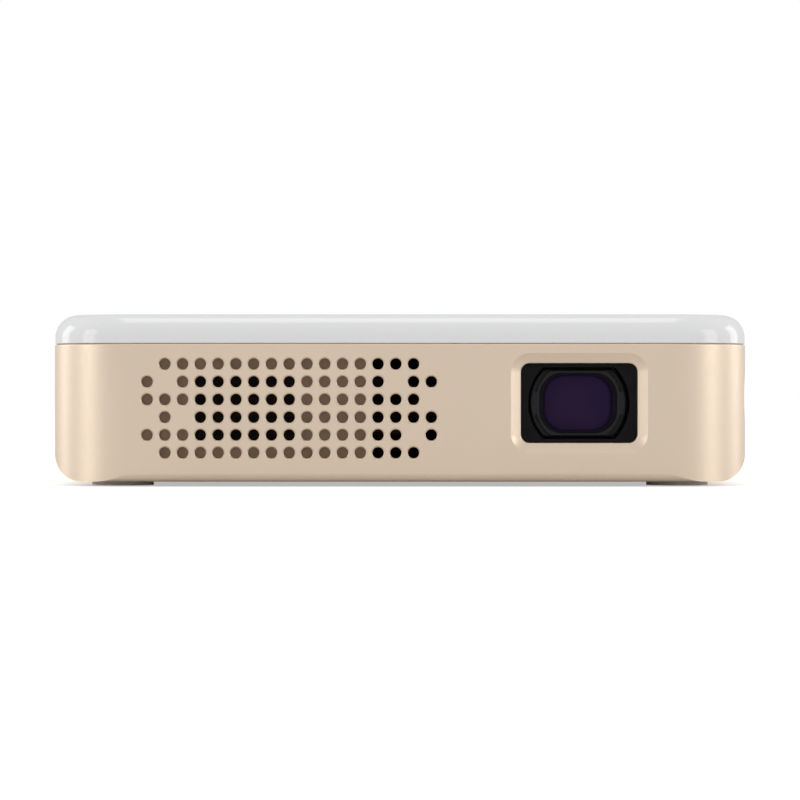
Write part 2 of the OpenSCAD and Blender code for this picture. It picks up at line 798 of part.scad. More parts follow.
module focus_shaft() color(steel)
    translate([wheel_x, wheel_y, bracket_z0 - 0.4])
        cylinder(h = bracket_z1 - bracket_z0 + 1.8, r = shaft_r);

module focus_bracket() color(graphite) difference() {
    union() {
        for (z = [bracket_z0, bracket_z1])
            block([wheel_x - 2.6, wheel_y - 2.6, z], [wheel_x + 2.4, engine_y0, z + 1]);
        block([wheel_x - 6.4, engine_y0 - 1.6, bracket_z0], [wheel_x + 2.4, engine_y0, bracket_z1 + 1]);
    }
    translate([wheel_x, wheel_y, 0]) cylinder(h = 20, r = shaft_r);
}

module prism() color(clear_glass) translate([lens_x, -30, 5]) {
    side = 12;
    linear_extrude(9) polygon([[-side / 2, -side], [side / 2, -side], [side / 2, 0]]);
    translate([0, 0.3, 0]) linear_extrude(9)
        polygon([[-side / 2, -side], [-side / 2, 0], [side / 2, 0]]);
}

module mirror_chip() color(ceramic) {
    block([14.6, engine_y1 - 1.2, 5.6], [26.2, engine_y1, 13.2]);
    block([16.4, engine_y1 - 1.5, 7], [24.4, engine_y1 - 1.2, 11.8]);
}

module mirror_chip_board() color(board_green)
    block([9, engine_y1, 3.4], [30, engine_y1 + 1, 14.6]);

module mirror_chip_heatsink() color(black) {
    y0 = engine_y1 + 1;
    block([12, y0, 3.6], [27.6, y0 + 1.2, 11.4]);
    for (i = [0:7]) block([12 + i * 2.1, y0 + 1.2, 3.6], [12.9 + i * 2.1, y0 + 4, 11.4]);
}

// The flat cable from the mirror chip's board up to the main board
module mirror_chip_flex() color(film_amber)
    rotate([90, 0, 90]) translate([0, 0, 14]) linear_extrude(12) polygon([
        [engine_y1 + 1, 12.4], [engine_y1 + 1.2, 12.4], [engine_y1 + 1.6, 13.8],
        [engine_y1 + 3, chip_z + 1], [board_y0 - 2, chip_z + 1.1], [board_y0 + 1.2, chip_z],
        [board_y0 + 4, chip_z], [board_y0 + 4, chip_z + 0.2], [board_y0 + 1.3, chip_z + 0.2],
        [board_y0 - 1.9, chip_z + 1.3], [engine_y1 + 2.9, chip_z + 1.2], [engine_y1 + 1.4, 13.9],
        [engine_y1 + 1, 12.7]
    ]);

// The green LED's module on one side of the engine and the red and blue one's on the other
module led_modules() {
    color(copper) block([engine_x0 - 1.4, -45.5, 4], [engine_x0, -29, 14]);
    color(copper) block([engine_x1, -45.5, 4], [engine_x1 + 1.4, -29, 14]);
    color(phosphor) block([engine_x0, -40, 7.5], [engine_x0 + 0.8, -35, 11.5]);
    color(white_gloss) block([engine_x1 - 0.8, -40, 7.5], [engine_x1, -35, 11.5]);
}

// Two flat cables, from the LED modules' rear ends to the main board's front edge
flex_t = 0.2;
led_flex_z0 = 8;
led_flex_z1 = board_z + board_t - 0.1;

module ribbon(points) translate([0, 0, led_flex_z0]) linear_extrude(led_flex_z1 - led_flex_z0)
    for (i = [0:len(points) - 2]) {
        run = points[i + 1] - points[i];
        translate(points[i]) rotate(atan2(run.y, run.x)) {
            translate([0, -flex_t / 2]) square([norm(run), flex_t]);
            circle(flex_t / 2, $fn = 16);
        }
    }

module led_flexes() color(film_amber) {
    ribbon([
        [engine_x1 + 0.5, -28.8], [36.2, -28.4], [in_x - 1.1, -27], [in_x - 1.1, -23],
        [35, -19.5], [31, -17.6], [29.5, board_y0 - 0.1]
    ]);
    ribbon([[engine_x0 - 0.8, -28.8], [engine_x0 - 0.8, -22], [engine_x0, board_y0 - 0.1]]);
}

led_fins = 9;
led_fin_pitch = 2.05;

module led_heatsink() color(black) {
    x0 = engine_x1 + 1.4;
    block([x0, -46.8, 4.2], [x0 + 1.2, -29, 13.6]);
    for (i = [0:led_fins - 1])
        translate([0, i * led_fin_pitch, 0])
            block([x0 + 1.2, -46.8, 4.2], [in_x - 0.5, -46, 13.6]);
}

pipe_r = 1.7;
pipe_z = tub_z + 8.3;
pipe_bend = 4;
pipe_x0 = engine_x0 - 1.4 - pipe_r;
pipe_x1 = -33.4;
pipe_y = -22.4;

// A quarter-turn elbow about the local origin, from local +X round to +Y
module elbow() rotate_extrude(angle = 90) translate([pipe_bend, 0]) circle(pipe_r);

module heat_pipe() color(copper) translate([0, 0, pipe_z]) {
    translate([pipe_x0, pipe_y - pipe_bend, 0]) rotate([90, 0, 0]) cylinder(h = 18, r = pipe_r);
    translate([pipe_x0 - pipe_bend, pipe_y - pipe_bend, 0]) elbow();
    translate([pipe_x1 + pipe_bend, pipe_y, 0]) rotate([0, 90, 0])
        cylinder(h = pipe_x0 - pipe_x1 - 2 * pipe_bend, r = pipe_r);
    translate([pipe_x1 + pipe_bend, pipe_y - pipe_bend, 0]) rotate([0, 0, 90]) elbow();
    translate([pipe_x1, pipe_y - pipe_bend, 0]) rotate([90, 0, 0]) cylinder(h = 32, r = pipe_r);
}

fin_x0 = -in_x + 0.7;
fin_x1 = fan_x0 - 0.6;

fins = 19;
fin_pitch = 1.5;
fin_y0 = -61;
fin_z0 = 4.4;
fin_z1 = 13;
sheet_t = 0.3;

module fin_stack() color(black) difference() {
    union() {
        for (i = [0:fins - 1]) translate([0, fin_y0 + i * fin_pitch, 0])
            block([fin_x0, 0, fin_z0], [fin_x1, sheet_t, fin_z1]);
        for (z = [fin_z0, fin_z1 - sheet_t])
            block([fin_x0, fin_y0, z], [fin_x1, fin_y0 + (fins - 1) * fin_pitch + sheet_t, z + sheet_t]);
    }
    translate([pipe_x1, -20, pipe_z]) rotate([90, 0, 0]) cylinder(h = 45, r = pipe_r + 0.05);
}

// ---------------------------------------------------------------- blower and speaker

module fan_housing() color(black) difference() {
    block([fan_x0, fan_y0, fan_z0], [fan_x1, fan_y1, fan_z1 - 0.8]);
    // The scroll that the impeller turns in, open to the right side
    translate([rotor_x, rotor_y, fan_z0 + fan_wall]) cylinder(h = 10, r = impeller_r + 0.9);
    block(
        [fan_x0 - 1, rotor_y - impeller_r - 0.9, fan_z0 + fan_wall],
        [rotor_x, fan_y1 - fan_wall, fan_z1]
    );
    for (p = fan_screw_places)
        translate([p.x, p.y, fan_z0 - 1]) cylinder(h = 12, r = screw_r + 0.05, $fn = 24);
    translate([rotor_x, rotor_y, fan_z0 - 1]) cylinder(h = 4, r = bearing_r);
}

module fan_cover() color(black) difference() {
    block([fan_x0, fan_y0, fan_z1 - 0.8], [fan_x1, fan_y1, fan_z1]);
    translate([rotor_x, rotor_y, 0]) cylinder(h = 20, r = 8.6);
    for (p = fan_screw_places)
        translate([p.x, p.y, 0]) cylinder(h = 20, r = screw_r + 0.1, $fn = 24);
}

module fan_screws() color(steel)
    for (p = fan_screw_places) translate([p.x, p.y, fan_z1]) screw(10.2);

module fan_bearing() color(brass) translate([rotor_x, rotor_y, fan_z0]) difference() {
    cylinder(h = 5.4, r = bearing_r);
    translate([0, 0, 0.4]) cylinder(h = 6, r = rotor_shaft_r + 0.03);
}

module fan_stator() color(copper) translate([rotor_x, rotor_y, fan_z0 + fan_wall]) difference() {
    union() {
        cylinder(h = 3.6, r = 2.4);
        for (i = [0:5]) rotate([0, 0, i * 60]) translate([0, -0.6, 0.6]) cube([4.3, 1.2, 2.4]);
    }
    translate([0, 0, -1]) cylinder(h = 6, r = bearing_r + 0.02);
}

module fan_rotor() color(graphite) translate([rotor_x, rotor_y, fan_z0 + fan_wall + 0.5]) {
    difference() {
        cylinder(h = 6, r = hub_r);
        translate([0, 0, -1]) cylinder(h = 5.8, r = hub_r - 1.2);
    }
    translate([0, 0, -0.9]) cylinder(h = 6, r = rotor_shaft_r);
    for (i = [0:blades - 1]) rotate([0, 0, i * 360 / blades])
        translate([hub_r - 0.3, 0, 0.4]) rotate([0, 0, 28]) translate([0, -0.25, 0])
            cube([impeller_r - hub_r - 0.2, 0.5, 5.2]);
}

speaker_x0 = -30.4;
speaker_x1 = -3.9;
speaker_y0 = -in_y + inner_end_r;
speaker_y1 = fan_y0 - 0.5;
speaker_z0 = floor_z;
speaker_z1 = seam_z - lip_drop - 0.1;
port_x0 = -23.8;
port_x1 = -11.6;
port_z0 = 4.8;
port_z1 = 12.9;

module speaker_box() color(taupe) difference() {
    block([speaker_x0, speaker_y0, speaker_z0], [speaker_x1, speaker_y1, speaker_z1]);
    block(
        [speaker_x0 + 1, speaker_y0 + 1, speaker_z0 + 1],
        [speaker_x1 - 1, speaker_y1 - 1, speaker_z1 - 1]
    );
    block([port_x0, speaker_y0 - 1, port_z0], [port_x1, speaker_y0 + 2, port_z1]);
}

port_x = (port_x0 + port_x1) / 2;
port_z = (port_z0 + port_z1) / 2;

module speaker_cone() color(black)
    translate([port_x, speaker_y0 + 1, port_z]) rotate([-90, 0, 0]) {
        linear_extrude(0.4) difference() {
            rounded_rect(15, 8.4, 2);
            rounded_rect(11, 6.4, 2);
        }
        translate([0, 0, 0.4]) linear_extrude(0.3) rounded_rect(12.4, 7.6, 2);
    }

module speaker_magnet() color(steel)
    translate([port_x, speaker_y0 + 2.2, port_z]) rotate([-90, 0, 0])
        linear_extrude(speaker_y1 - speaker_y0 - 3.2) rounded_rect(12, 7.6, 0.8);

// ---------------------------------------------------------------- switches

// Local Z points out of the right wall, local X towards the front
module power_button() color(champagne) on_right(button_y, button_z) {
    translate([0, 0, -wall - 0.2]) linear_extrude(wall - 0.05) slot(button_l, button_w);
    translate([0, 0, -wall - 0.9]) linear_extrude(0.8) slot(button_l + 1.6, button_w + 1.4);
    translate([0, 0, -wall - 2]) cylinder(h = 1.2, r = 1.3);
}

switch_depth = wall + 3.4;

module switch_plunger() color(black) on_right(button_y, button_z)
    translate([0, 0, -switch_depth - 1.2])
        cylinder(h = switch_depth - wall - 0.8, r = 0.9, $fn = 32);

module power_switch() color(steel) on_right(button_y, button_z) difference() {
    translate([-3, -1.75, -switch_depth - 3]) cube([6, 3.5, 3]);
    translate([0, 0, -switch_depth - 1.8]) cylinder(h = 4, r = 0.95, $fn = 32);
}

module switch_board() color(board_green) {
    x0 = -side_x + switch_depth + 3;
    block([x0, button_y - 4.6, button_z - 3.2], [x0 + 0.8, button_y + 4.6, board_z]);
}

reset_y = in_y - 1.7;

module reset_switch() color(graphite) difference() {
    block([reset_x - 1.6, reset_y - 2, reset_z - 1.5], [reset_x + 1.6, reset_y, board_z]);
    translate([reset_x, reset_y, reset_z]) rotate([90, 0, 0]) translate([0, 0, -1])
        cylinder(h = 2.2, r = 0.55, $fn = 32);
}

module reset_plunger() color(champagne)
    translate([reset_x, reset_y + 0.8, reset_z]) rotate([90, 0, 0]) cylinder(h = 1.6, r = 0.5, $fn = 32);

// ---------------------------------------------------------------- sockets

socket_recess = 0.4;
hdmi_depth = 11;

module hdmi_shell() color(steel) on_right(hdmi_y, hdmi_z)
    translate([0, 0, -hdmi_depth - socket_recess]) difference() {
        linear_extrude(hdmi_depth) hdmi_outline(0);
        translate([0, 0, -1]) linear_extrude(hdmi_depth + 2) hdmi_outline(-0.35);
    }

module hdmi_insert() on_right(hdmi_y, hdmi_z) translate([0, 0, -hdmi_depth - socket_recess]) {
    color(black) {
        linear_extrude(2.5) hdmi_outline(-0.37);
        translate([-5.5, 2.3, 2.4]) cube([11, 1.5, 7]);
    }
    color(brass) {
        row(10, 1) translate([-0.2, 2.2, 2.5]) cube([0.4, 0.1, 6.4]);
        row(9, 1) translate([-0.2, 3.8, 2.5]) cube([0.4, 0.1, 6.4]);
    }
}

usb_a_depth = 13.5;

module usb_a_shell() color(steel) {
    on_right(usb_a_y, usb_a_z) translate([0, 0, -usb_a_depth - socket_recess]) difference() {
        linear_extrude(usb_a_depth) rounded_rect(usb_a_w, usb_a_h, 0.5);
        translate([0, 0, -1]) linear_extrude(usb_a_depth + 2)
            rounded_rect(usb_a_w - 0.6, usb_a_h - 0.6, 0.25);
    }
    // Solder legs up to the board
    for (x = [-side_x + 5, -side_x + 11], s = [-1, 1])
        block(
            [x, usb_a_y + s * 5 - 0.5, usb_a_z + usb_a_h / 2 - 0.1],
            [x + 1, usb_a_y + s * 5 + 0.5, board_z]
        );
}

module usb_a_insert() on_right(usb_a_y, usb_a_z) translate([0, 0, -usb_a_depth - socket_recess]) {
    color(black) {
        linear_extrude(2) rounded_rect(usb_a_w - 0.64, usb_a_h - 0.64, 0.25);
        translate([-5.5, 0.1, 1.9]) cube([11, 1.85, 10]);
    }
    color(brass) row(4, 2.3) translate([-0.5, 0, 2]) cube([1, 0.1, 9]);
}

usb_c_depth = 7.4;

module usb_c_shell() color(steel) {
    on_rear(usb_c_x, usb_c_z) translate([0, 0, -usb_c_depth - socket_recess]) difference() {
        linear_extrude(usb_c_depth) slot(usb_c_w, usb_c_h);
        translate([0, 0, -1]) linear_extrude(usb_c_depth + 2) slot(usb_c_w - 0.54, usb_c_h - 0.54);
    }
    for (y = [end_y - 6.6, end_y - 3], s = [-1, 1])
        block([s * 2.6 - 0.4, y, usb_c_z + usb_c_h / 2 - 0.1], [s * 2.6 + 0.4, y + 0.6, board_z]);
}

module usb_c_insert() on_rear(usb_c_x, usb_c_z) translate([0, 0, -usb_c_depth - socket_recess]) {
    color(black) {
        linear_extrude(1.6) slot(usb_c_w - 0.58, usb_c_h - 0.58);
        translate([-3.35, -0.35, 1.5]) cube([6.7, 0.7, 5.2]);
    }
    color(brass) for (s = [-1, 1]) row(12, 0.5)
        translate([-0.13, s * 0.39 - 0.04, 2]) cube([0.26, 0.08, 4.5]);
}

jack_bore_r = 1.8;
jack_depth = 13.5;

module audio_jack() color(black) difference() {
    union() {
        block(
            [jack_x - 3.2, end_y - jack_depth - 1.4, jack_z - 2.6],
            [jack_x + 3.2, in_y - 0.1, jack_z + 2.6]
        );
        on_rear(jack_x, jack_z) translate([0, 0, -wall - 0.2])
            cylinder(h = wall - 0.2, r = jack_hole_r - 0.1);
    }
    on_rear(jack_x, jack_z) translate([0, 0, -jack_depth - 0.4])
        cylinder(h = jack_depth + 1, r = jack_bore_r);
}

// Leads of the speaker and the blower, up to the front edge of the main board
lead_r = 0.4;
lead_gap = 1.2;

module inner_leads() {
    for (i = [0:1]) color(sleeve_colours[i])
        wire([
            [speaker_x1 + 0.5, speaker_y1 - 1.7 - lead_gap * i, 6],
            [fan_x1 + lead_gap * i, fan_y0 - 2.2 - lead_gap * i, 6.4],
            [fan_x1 + 1.6 + lead_gap * i, fan_y0, 8],
            [fan_x1 + 1.6 + lead_gap * i, fan_y0 + 7, 13],
            [fan_x1 + 1.6 + lead_gap * i, -40, 13.6],
            [1 + lead_gap * i, -24, 13.8],
            [lead_gap * i, board_y0 - 1.4, 13.2],
            [lead_gap * i, board_y0 - 0.6, board_z + 0.5]
        ], lead_r);
    for (i = [0:2]) color(sleeve_colours[i])
        wire([
            [-7 + lead_gap * i, fan_y1 + 0.5, 10.9],
            [-7 + lead_gap * i, fan_y1 + 3, 12.4],
            [-8 + lead_gap * i, pipe_y + 1, 12.6],
            [-8.5 + lead_gap * i, board_y0 - 0.6, board_z + 0.5]
        ], lead_r);
}

tub();
top_cap();
foot(0);  // foot_front_left
foot(1);  // foot_front_right
foot(2);  // foot_rear_left
foot(3);  // foot_rear_right
tripod_insert();
battery_tray();
battery_pack();
battery_leads();
main_board();
board_chips();
heat_spreader();
board_screws();
tray_screws();
engine_housing();
engine_lid();
engine_screws();
lens_hood();
lens_barrel();
lens_retainer();
front_lens();
middle_lens();
rear_lens();
focus_wheel();
focus_shaft();
focus_bracket();
prism();
mirror_chip();
mirror_chip_board();
mirror_chip_heatsink();
mirror_chip_flex();
led_modules();
led_flexes();
led_heatsink();
heat_pipe();
fin_stack();
fan_housing();
fan_cover();
fan_stator();
fan_bearing();
fan_rotor();
fan_screws();
speaker_box();
speaker_cone();
speaker_magnet();
power_button();
power_switch();
switch_plunger();
switch_board();
reset_switch();
reset_plunger();
hdmi_shell();
hdmi_insert();
usb_a_shell();
usb_a_insert();
usb_c_shell();
usb_c_insert();
audio_jack();
inner_leads();
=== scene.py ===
"""Pocket projector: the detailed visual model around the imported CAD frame."""
import json
import math

import bmesh
import bpy
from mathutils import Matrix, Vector


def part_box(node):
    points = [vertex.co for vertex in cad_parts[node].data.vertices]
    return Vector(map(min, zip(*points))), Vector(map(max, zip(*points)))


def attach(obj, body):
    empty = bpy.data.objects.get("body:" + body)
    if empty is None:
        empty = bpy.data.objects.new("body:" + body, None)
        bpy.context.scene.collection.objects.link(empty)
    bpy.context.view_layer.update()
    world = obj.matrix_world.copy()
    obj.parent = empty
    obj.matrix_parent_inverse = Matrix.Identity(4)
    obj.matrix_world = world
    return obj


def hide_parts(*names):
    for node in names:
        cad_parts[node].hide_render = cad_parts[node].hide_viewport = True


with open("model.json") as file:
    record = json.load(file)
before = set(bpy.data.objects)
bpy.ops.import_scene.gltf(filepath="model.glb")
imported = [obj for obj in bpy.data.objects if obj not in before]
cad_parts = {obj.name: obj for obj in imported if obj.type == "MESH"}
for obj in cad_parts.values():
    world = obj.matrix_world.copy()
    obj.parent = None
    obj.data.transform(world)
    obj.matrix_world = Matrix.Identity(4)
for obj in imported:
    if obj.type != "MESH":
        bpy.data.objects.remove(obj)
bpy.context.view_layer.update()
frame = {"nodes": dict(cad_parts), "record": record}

MM = 0.001

# Facts of the frame, in millimetres
TUB_LOW, TUB_HIGH = (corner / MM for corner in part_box("tub"))
CAP_LOW, CAP_HIGH = (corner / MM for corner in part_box("top_cap"))
SIDE_X = TUB_HIGH.x
END_Y = TUB_HIGH.y
TUB_Z = TUB_LOW.z
SEAM_Z = TUB_HIGH.z
TOP_Z = CAP_HIGH.z

# Shell
WALL = 1.5
FLOOR_T = 1.4
FLOOR_Z = TUB_Z + FLOOR_T
CORNER_R = 9.5
EDGE_R = 3.6
END_R = 1.0
CAP_R = 2.6

# Openings
GRILLE_PITCH = 2.02
GRILLE_COLS, GRILLE_ROWS = 17, 6
GRILLE_X, GRILLE_Z = -12.6, TUB_Z + 8.35
GRILLE_R = 0.65
GRILLE_BLANKS = {(0, 0), (16, 0), (1, 1), (14, 1), (16, 2), (0, 3), (2, 3), (15, 4), (0, 5), (16, 5)}
LENS_X, LENS_Z = 20.4, TUB_Z + 8.95
WHEEL_Y, WHEEL_Z = -56.5, TUB_Z + 9.7
BUTTON_Y, BUTTON_Z = -6.2, TUB_Z + 8.45
HDMI_Y, HDMI_Z = 43.4, TUB_Z + 5.6
USB_A_Y, USB_A_Z = 16.9, TUB_Z + 8
USB_C_X, USB_C_Z = 0, TUB_Z + 9.2
USB_C_L, USB_C_W = 9.04, 3.3
JACK_X, JACK_Z, JACK_R = -18.5, TUB_Z + 9.9, 2.65
PINHOLE_X, PINHOLE_Z, PINHOLE_R = 10.2, TUB_Z + 10.3, 0.7
FOOT_X, FOOT_Y, FOOT_RECESS_R = SIDE_X - 8, END_Y - 7.7, 3.7
TRIPOD_Y, TRIPOD_R = -20, 4.55

# Rows of vents: wall, middle along it, height, count, pitch, and one slot's width and length
VENTS = (
    ("left", -34.5, TUB_Z + 9.67, 10, 2.03, 1.2, 3.3),
    ("right", -45.8, TUB_Z + 8.46, 13, 2.24, 1.4, 5.45),
    ("rear", 19.7, TUB_Z + 9.4, 8, 2.03, 1.2, 3.2),
)

# A depth past the wall's inside, and a height past its outside
THROUGH = -2.6
CLEAR = 0.5

# The cap's fit in the tub
CAP_SLACK = 0.15
LIP_T = 1.2
CAP_T = 1.6
HOOK_PLACES = (-44, 0, 44)


# ------------------------------------------------------------------ mesh helpers


def rounded_rect(width, length, r, steps=24):
    """Points of a rounded rectangle about the origin, anticlockwise."""
    r = min(r, width / 2, length / 2)
    points = []
    corners = ((1, 1, 0), (-1, 1, 90), (-1, -1, 180), (1, -1, 270))
    for sx, sy, start in corners:
        for i in range(steps + 1):
            a = math.radians(start + 90 * i / steps)
            points.append((sx * (width / 2 - r) + r * math.cos(a), sy * (length / 2 - r) + r * math.sin(a)))
    return points


def circle(r, steps):
    """Points of a circle about the origin, anticlockwise."""
    angles = [math.tau * i / steps for i in range(steps)]
    return [(r * math.cos(a), r * math.sin(a)) for a in angles]


def clean(bm):
    """Merges coincident points and turns every face outward."""
    bmesh.ops.remove_doubles(bm, verts=bm.verts, dist=1e-5)
    bmesh.ops.dissolve_degenerate(bm, edges=bm.edges, dist=1e-6)
    bmesh.ops.recalc_face_normals(bm, faces=bm.faces)


def loft(rings):
    """A closed bmesh through rings of points in millimetres, capped at both ends."""
    bm = bmesh.new()
    loops = [[bm.verts.new(p) for p in ring] for ring in rings]
    count = len(loops[0])
    for a, b in zip(loops, loops[1:]):
        for i in range(count):
            j = (i + 1) % count
            bm.faces.new((a[i], a[j], b[j], b[i]))
    bm.faces.new(list(reversed(loops[0])))
    bm.faces.new(loops[-1])
    clean(bm)
    return bm


def add_loft(bm, rings):
    """Adds a closed loft to a mesh that already holds others."""
    part = loft(rings)
    temp = bpy.data.meshes.new("temp")
    part.to_mesh(temp)
    part.free()
    bm.from_mesh(temp)
    bpy.data.meshes.remove(temp)


def add_tube(bm, rings):
    """Adds a closed tube whose cross-section is the loop of rings, such as outer then inner."""
    loops = [[bm.verts.new(p) for p in ring] for ring in rings]
    for a, b in zip(loops, loops[1:] + loops[:1]):
        for i in range(len(a)):
            j = (i + 1) % len(a)
            if (a[i].co - a[j].co).length > 1e-6 or (b[i].co - b[j].co).length > 1e-6:
                bm.faces.new((a[i], a[j], b[j], b[i]))
    clean(bm)


def prism(points, z0, z1):
    """Rings of an upright prism."""
    return [[(x, y, z0) for x, y in points], [(x, y, z1) for x, y in points]]


def upright_box(x, y, half_x, half_y, z0, z1):
    """Rings of an upright box about a point of the plan."""
    corners = ((1, 1), (-1, 1), (-1, -1), (1, -1))
    return prism([(x + half_x * u, y + half_y * v) for u, v in corners], z0, z1)


def shifted(points, along, up):
    return [(u + along, v + up) for u, v in points]


def place(side, along, z):
    """Local (u, v, w) to the row frame, where w points out of that wall of the tub."""
    def front(u, v, w):
        return (along + u, -END_Y - w, z + v)

    def rear(u, v, w):
        return (along - u, END_Y + w, z + v)

    def left(u, v, w):
        return (SIDE_X + w, along + u, z + v)

    def right(u, v, w):
        return (-SIDE_X - w, along - u, z + v)

    return {"front": front, "rear": rear, "left": left, "right": right}[side]


def stack(at, outline, levels):
    """Rings of an outline at several depths: each level is (height out of the wall, growth)."""
    return [[at(u, v, w) for u, v in outline(grow)] for w, grow in levels]


def push(at, points, *depths):
    """Rings of fixed points at several depths."""
    return [[at(u, v, w) for u, v in points] for w in depths]


def to_object(bm, name, material=None):
    """A scene object in metres from a bmesh in millimetres."""
    bmesh.ops.scale(bm, vec=(MM, MM, MM), verts=bm.verts)
    mesh = bpy.data.meshes.new(name)
    bm.to_mesh(mesh)
    bm.free()
    obj = bpy.data.objects.new(name, mesh)
    bpy.context.scene.collection.objects.link(obj)
    if material:
        mesh.materials.append(material)
    return obj


def boolean(obj, other, operation):
    """Applies an exact boolean and removes the other object."""
    modifier = obj.modifiers.new("cut", "BOOLEAN")
    modifier.operation = operation
    modifier.solver = "EXACT"
    modifier.object = other
    bake(obj)
    bpy.data.objects.remove(other)


def bake(obj):
    """Applies all of an object's modifiers."""
    bpy.context.view_layer.update()
    graph = bpy.context.evaluated_depsgraph_get()
    mesh = bpy.data.meshes.new_from_object(obj.evaluated_get(graph))
    old = obj.data
    obj.modifiers.clear()
    obj.data = mesh
    mesh.name = obj.name
    bpy.data.meshes.remove(old)


def tidy(obj, dist=0.002):
    """Merges the near-double points that booleans leave."""
    bm = bmesh.new()
    bm.from_mesh(obj.data)
    bmesh.ops.remove_doubles(bm, verts=bm.verts, dist=dist * MM)
    bmesh.ops.dissolve_degenerate(bm, edges=bm.edges, dist=dist * MM / 2)
    bm.to_mesh(obj.data)
    bm.free()


def shade(obj, angle=32, creases=None):
    """Smooth shading with sharp edges, weighted so that flat faces stay flat."""
    mesh = obj.data
    mesh.shade_smooth()
    mesh.set_sharp_from_angle(angle=math.radians(angle))
    if creases:
        creases(mesh)
    weighted = obj.modifiers.new("weighted", "WEIGHTED_NORMAL")
    weighted.keep_sharp = True
    weighted.weight = 100


def soften(obj, width):
    """A small machined edge round an object, as a modifier."""
    bevel = obj.modifiers.new("edge", "BEVEL")
    bevel.width = width * MM
    bevel.segments = 2
    bevel.limit_method = "ANGLE"
    bevel.angle_limit = math.radians(40)
    bevel.harden_normals = True


def finish_solid(obj, material):
    """Leaves a cut solid with one material only."""
    obj.data.materials.clear()
    obj.data.materials.append(MATERIALS[material])


# ------------------------------------------------------------------ materials


class Finish:
    """A Principled material with procedural colour, roughness and grain, in object space."""

    def __init__(self, name, metallic=0.0, **sockets):
        self.material = bpy.data.materials.new(name)
        self.material.use_nodes = True
        self.nodes = self.material.node_tree.nodes
        self.links = self.material.node_tree.links
        self.shader = self.nodes["Principled BSDF"]
        self.shader.inputs["Metallic"].default_value = metallic
        for socket, value in sockets.items():
            self.shader.inputs[socket.replace("_", " ")].default_value = value
        self.coords = self.nodes.new("ShaderNodeTexCoord").outputs["Object"]

    def mapped(self, stretch):
        """Object coordinates, stretched along the axes where a pattern needs it."""
        if stretch is None:
            return self.coords
        mapping = self.nodes.new("ShaderNodeMapping")
        mapping.inputs["Scale"].default_value = stretch
        self.links.new(self.coords, mapping.inputs["Vector"])
        return mapping.outputs["Vector"]

    def noise(self, size_mm, detail=3.0, stretch=None):
        node = self.nodes.new("ShaderNodeTexNoise")
        node.inputs["Scale"].default_value = 1 / (size_mm * MM)
        node.inputs["Detail"].default_value = detail
        self.links.new(self.mapped(stretch), node.inputs["Vector"])
        return node.outputs["Fac"]

    def cells(self, size_mm, feature="F1"):
        node = self.nodes.new("ShaderNodeTexVoronoi")
        node.feature = feature
        node.inputs["Scale"].default_value = 1 / (size_mm * MM)
        self.links.new(self.coords, node.inputs["Vector"])
        return node.outputs["Distance"]

    def waves(self, size_mm, axis):
        node = self.nodes.new("ShaderNodeTexWave")
        node.bands_direction = axis
        node.inputs["Scale"].default_value = 1 / (size_mm * MM) / math.pi
        self.links.new(self.coords, node.inputs["Vector"])
        return node.outputs["Fac"]

    def ramp(self, value, stops):
        node = self.nodes.new("ShaderNodeValToRGB")
        elements = node.color_ramp.elements
        while len(elements) < len(stops):
            elements.new(0.5)
        for element, (position, colour) in zip(elements, stops):
            element.position = position
            element.color = (*colour, 1)
        self.links.new(value, node.inputs["Fac"])
        return node.outputs["Color"]

    def level(self, value, low, high):
        """Spreads the middle of a pattern's range over low to high."""
        node = self.nodes.new("ShaderNodeMapRange")
        node.inputs["From Min"].default_value = 0.3
        node.inputs["From Max"].default_value = 0.7
        node.inputs["To Min"].default_value = low
        node.inputs["To Max"].default_value = high
        self.links.new(value, node.inputs["Value"])
        return node.outputs["Result"]

    def colour(self, value, stops):
        self.links.new(self.ramp(value, stops), self.shader.inputs["Base Color"])

    def rough(self, value, low, high):
        self.links.new(self.level(value, low, high), self.shader.inputs["Roughness"])

    def bump(self, value, depth_mm, strength=1.0):
        node = self.nodes.new("ShaderNodeBump")
        node.inputs["Strength"].default_value = strength
        node.inputs["Distance"].default_value = depth_mm * MM
        self.links.new(value, node.inputs["Height"])
        self.links.new(node.outputs["Normal"], self.shader.inputs["Normal"])


def tones(colour, spread):
    """A darker and a lighter stop around one linear colour."""
    dark = tuple(c * (1 - spread) for c in colour)
    light = tuple(min(1.0, c * (1 + spread)) for c in colour)
    return [(0.3, dark), (0.7, light)]


def plain(name, colour, rough, metallic=0.0, cloud=4.0, grain=0.12, depth=0.004, spread=0.08, **sockets):
    """Moulded, cast or plated surface: soft colour clouds, uneven gloss and a fine grain."""
    f = Finish(name, metallic, **sockets)
    f.colour(f.noise(cloud), tones(colour, spread))
    f.rough(f.noise(cloud / 3, 5), rough * 0.85, rough * 1.15)
    f.bump(f.noise(grain, 4), depth)
    return f.material


def brushed(name, colour, rough, axis=(1, 30, 30), **sockets):
    """Rolled or brushed metal with lines along one axis."""
    f = Finish(name, 1.0, **sockets)
    f.colour(f.noise(3), tones(colour, 0.06))
    f.rough(f.noise(1.2, 6, axis), rough * 0.75, rough * 1.25)
    f.bump(f.noise(1.2, 6, axis), 0.002)
    return f.material


def anodised_tub():
    """Bead-blasted and anodised: a very fine satin grain."""
    f = Finish("anodised_tub", 0.86, Specular_IOR_Level=0.5)
    f.colour(f.noise(9, 2), tones((0.89, 0.738, 0.580), 0.012))
    f.rough(f.noise(0.5, 6), 0.36, 0.44)
    f.bump(f.noise(0.07, 2), 0.0035, 0.5)
    return f.material


